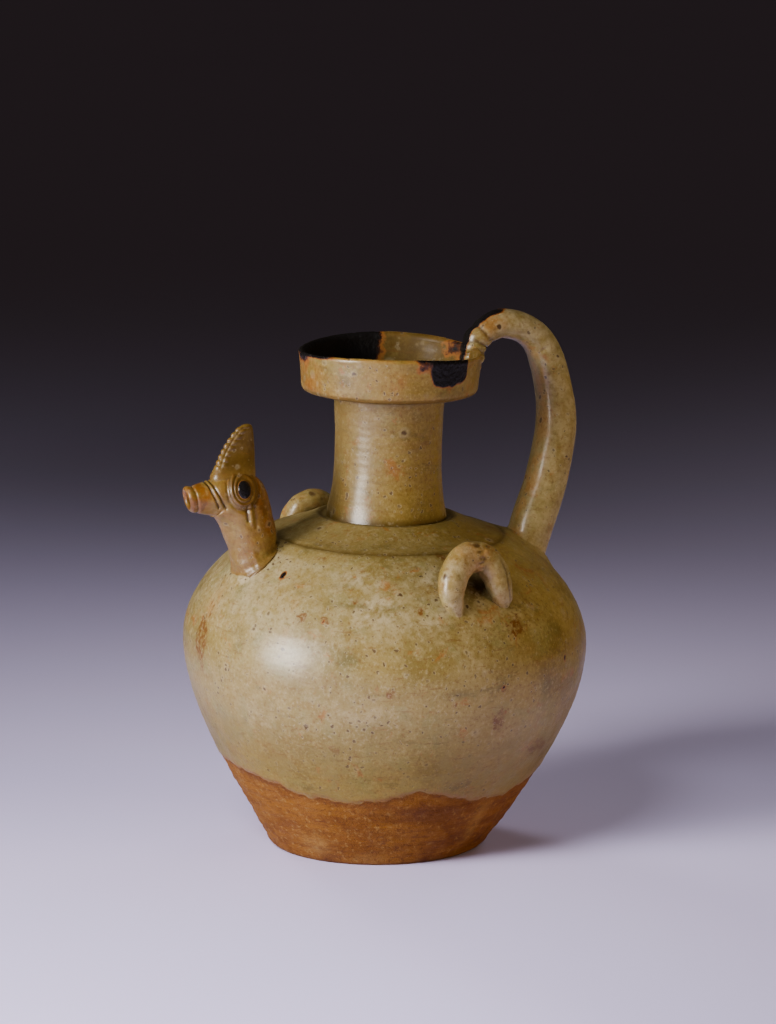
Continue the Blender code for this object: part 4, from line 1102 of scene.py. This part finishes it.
def ewer_material():
    """Olive glaze over buff stoneware: mottled colour, specks, pinholes, brown where it
    is thin, dark where it pools, iron splashes, and the bare clay of the foot. The marks
    also carry painted shade round the lugs' holes, in the dish and on the side away from
    the key light, and painted highlights on the belly and the handle's top."""
    s = Shader("olive_glaze_and_clay")
    place = s.node("ShaderNodeTexCoord", 3)
    patch, fine = s.noise(place, 62.0, 5.0, 0.6, 0.4), s.noise(place, 240.0, 5.0, 0.65)
    colour, speck = add_specks(s, place, glaze_colour(s, place, patch, fine))

    # Iron splashes, with rust and red-brown at their ragged edges
    iron = s.plus(s.mark("iron"), s.swing(s.noise(place, 230.0, 6.0, 0.72), 1.1))
    black = s.step(iron, 0.46, 0.64)
    rusty, reddish = s.step(iron, 0.16, 0.36), s.step(iron, 0.32, 0.50)
    colour = s.coats(colour, (rusty, RUST), (reddish, RED_BROWN), (black, IRON_BLACK))

    # The glaze's rippled edge, in millimetres above it: tinted low wall, dull patches,
    # thin brown glaze close to it, and burnt clay just under it
    edge = s.plus(s.mark("above_edge"), s.swing(s.noise(place, 170.0, 6.0, 0.68), 3.6))
    broken = s.plus(edge, s.swing(s.noise(place, 90.0, 5.0, 0.65), 14.0))
    bare = s.step(edge, 0.30, -0.30)
    line = s.step(s.math("ABSOLUTE", edge), 0.34, 0.05)
    dull = s.step(s.noise(place, 95.0, 6.0, 0.7, 0.5), 0.46, 0.62)
    clay = s.mix(
        s.times(s.step(edge, -3.0, -0.2, 0.0, 0.8), s.step(patch, 0.40, 0.60, 0.2, 1.0)),
        clay_colour(s, place, fine), BURNT_CLAY,
    )
    colour = s.coats(
        s.tinted(s.step(edge, 36.0, 6.0, 0.0, 0.85), colour, LOW_WALL),
        (s.times(s.step(edge, 40.0, 12.0, 0.0, 0.75), dull), OLIVE),
        (s.step(broken, 5.0, -1.0, 0.0, 0.55), HONEY),
        (s.times(s.step(broken, 3.0, -2.0), s.step(s.noise(place, 330.0, 4.0), 0.44, 0.58)), BROWN),
        (s.times(s.step(edge, 2.4, 0.2, 0.0, 0.75), s.step(patch, 0.36, 0.58, 0.3, 1.0)), CLAY),
        (bare, clay),
        (s.times(line, s.step(patch, 0.42, 0.60, 0.15, 0.7)), BROWN),
        (s.times(s.mark("inside"), 0.5), DARK_OLIVE),
    )

    # Gloss: dull clay, smooth iron, and a clear coat that fades toward the glaze's edge
    rough = s.step(s.noise(place, 120.0, 4.0), 0.35, 0.65, 0.38, 0.54)
    rough = s.math("ADD", rough, s.times(bare, 0.45), clamp=True)
    rough = s.math("SUBTRACT", rough, s.times(black, 0.20), clamp=True)
    rough = s.math("ADD", rough, s.times(s.mark("matt"), 0.30), clamp=True)
    coat = s.times(s.less(1.0, bare), s.less(1.0, black))
    coat = s.times(s.times(coat, s.less(1.0, s.mark("matt"))), s.step(edge, 4.0, 38.0, 0.08, 0.52))

    # Bump: fine dimples, sharper grain on the clay, pits in specks, and rough iron
    grain = s.times(s.noise(place, 1500.0, 3.0, 0.6), s.plus(s.times(bare, 0.9), 0.25))
    height = s.plus(s.times(s.noise(place, 330.0, 4.0, 0.6), 0.85), grain)
    height = s.less(height, s.times(speck, 0.5))
    height = s.plus(height, s.times(s.noise(place, 620.0, 2.0), s.times(black, 1.6)))
    thrown = s.noise(s.stretched(place, 4.0), 420.0, 3.0)
    height = s.plus(height, s.times(thrown, s.times(bare, 0.9)))
    normal = s.node("ShaderNodeBump", Strength=0.6, Distance=0.0005, Height=height)
    s.finish(Base_Color=colour, Roughness=rough, Coat_Weight=coat, Normal=normal)
    s.finish(Coat_Roughness=0.27, Specular_IOR_Level=0.24)
    return s.material


def floor_material():
    """Plain pale matt floor with a very faint cloudiness."""
    s = Shader("pale_floor")
    cloud = s.noise(s.node("ShaderNodeTexCoord", 3), 3.0)
    s.finish(Base_Color=s.mix(cloud, FLOOR_COOL, FLOOR_PALE), Roughness=0.9, Specular_IOR_Level=0.2)
    return s.material


def from_view(right, away, up):
    """Place given from the view, as metres to its right, away from it and up."""
    way, back = flat_way(VIEW_AZIMUTH), flat_way(VIEW_AZIMUTH + 90.0)
    return Vector(right * way + away * back + up * UP)


def aimed(start, end):
    """Placing of a camera or lamp at start that looks along the way to end."""
    turn = (end - start).to_track_quat("-Z", "Y").to_matrix().to_4x4()
    return Matrix.Translation(start) @ turn


def make_camera():
    """Camera at the photograph's viewing point."""
    camera = bpy.data.objects.new("camera", bpy.data.cameras.new("camera"))
    bpy.context.scene.collection.objects.link(camera)
    place = from_view(0.0, -VIEW_DISTANCE, VIEW_HEIGHT)
    target = from_view(VIEW_TARGET[0], 0.0, VIEW_TARGET[1])
    shift = Matrix.Translation(from_view(VIEW_SHIFT, 0.0, 0.0))
    camera.matrix_world = shift @ aimed(place, target)
    camera.data.sensor_width, camera.data.lens = SENSOR_WIDTH, VIEW_LENS
    bpy.context.scene.camera = camera


# Soft box lights, placed from the view: name, place, target, size, power, colour, whole
# angle of the beam, and whether the light leaves a highlight of its own
LIGHTS = [
    ("key", (-0.96, -0.70, 0.31), (0.08, -0.18, 0.03), (0.46, 0.86), 6.1, (1.0, 0.96, 0.91), 58.0, True),
    ("wash", (-1.05, 0.10, 0.70), (-0.48, 0.52, 0.0), (0.60, 0.60), 0.16, (0.98, 0.98, 1.0), 44.0, False),
    ("top", (-0.55, -0.85, 0.95), (-0.34, -0.46, 0.0), (0.55, 0.50), 4.3, (0.98, 0.98, 1.0), 57.0, False),
    ("fill", (1.20, -0.48, 0.19), (0.0, 0.0, 0.13), (0.60, 0.32), 0.60, (1.0, 0.84, 0.54), 34.0, False),
    ("back_right", (0.60, 1.05, 0.55), (0.0, 0.0, 0.12), (0.40, 0.40), 0.16, (1.0, 0.97, 0.93), 32.0, False),
    ("back_left", (-0.65, 1.05, 0.50), (0.0, 0.0, 0.12), (0.40, 0.40), 0.42, (0.97, 0.98, 1.0), 32.0, False),
]


def make_stage():
    """Pale floor, dim surroundings and the soft lights of a small studio."""
    corners = [(x * FLOOR_REACH, y * FLOOR_REACH, 0) for x, y in ((-1, -1), (1, -1), (1, 1), (-1, 1))]
    mesh = bpy.data.meshes.new("floor")
    mesh.from_pydata(corners, [], [(0, 1, 2, 3)])
    mesh.materials.append(floor_material())
    floor = bpy.data.objects.new("floor", mesh)
    bpy.context.scene.collection.objects.link(floor)
    world = bpy.data.worlds.new("studio")
    bpy.context.scene.world = world
    world.use_nodes = True
    world.node_tree.nodes["Background"].inputs[0].default_value = DIM_STUDIO
    world.node_tree.nodes["Background"].inputs[1].default_value = 1.0
    for name, place, target, size, power, colour, spread, shine in LIGHTS:
        light = bpy.data.lights.new(name, "AREA")
        light.shape, light.size, light.size_y = "RECTANGLE", *size
        light.energy, light.color, light.spread = power, colour, math.radians(spread)
        lamp = bpy.data.objects.new(name, light)
        bpy.context.scene.collection.objects.link(lamp)
        lamp.matrix_world = aimed(from_view(*place), from_view(*target))
        lamp.visible_glossy, lamp.visible_camera = shine, False


make_camera()
make_stage()
glaze = ewer_material()
pieces = [
    body_piece(glaze),
    neck_piece(glaze),
    handle_piece(glaze),
    spout_piece(glaze),
    comb_piece(glaze),
    lug_piece("lug_front", -88.0, 1.0, glaze, 51),
    lug_piece("lug_back", 88.0, 0.9, glaze, 61),
]
for piece in pieces:
    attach(piece, "root")
    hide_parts("ewer")
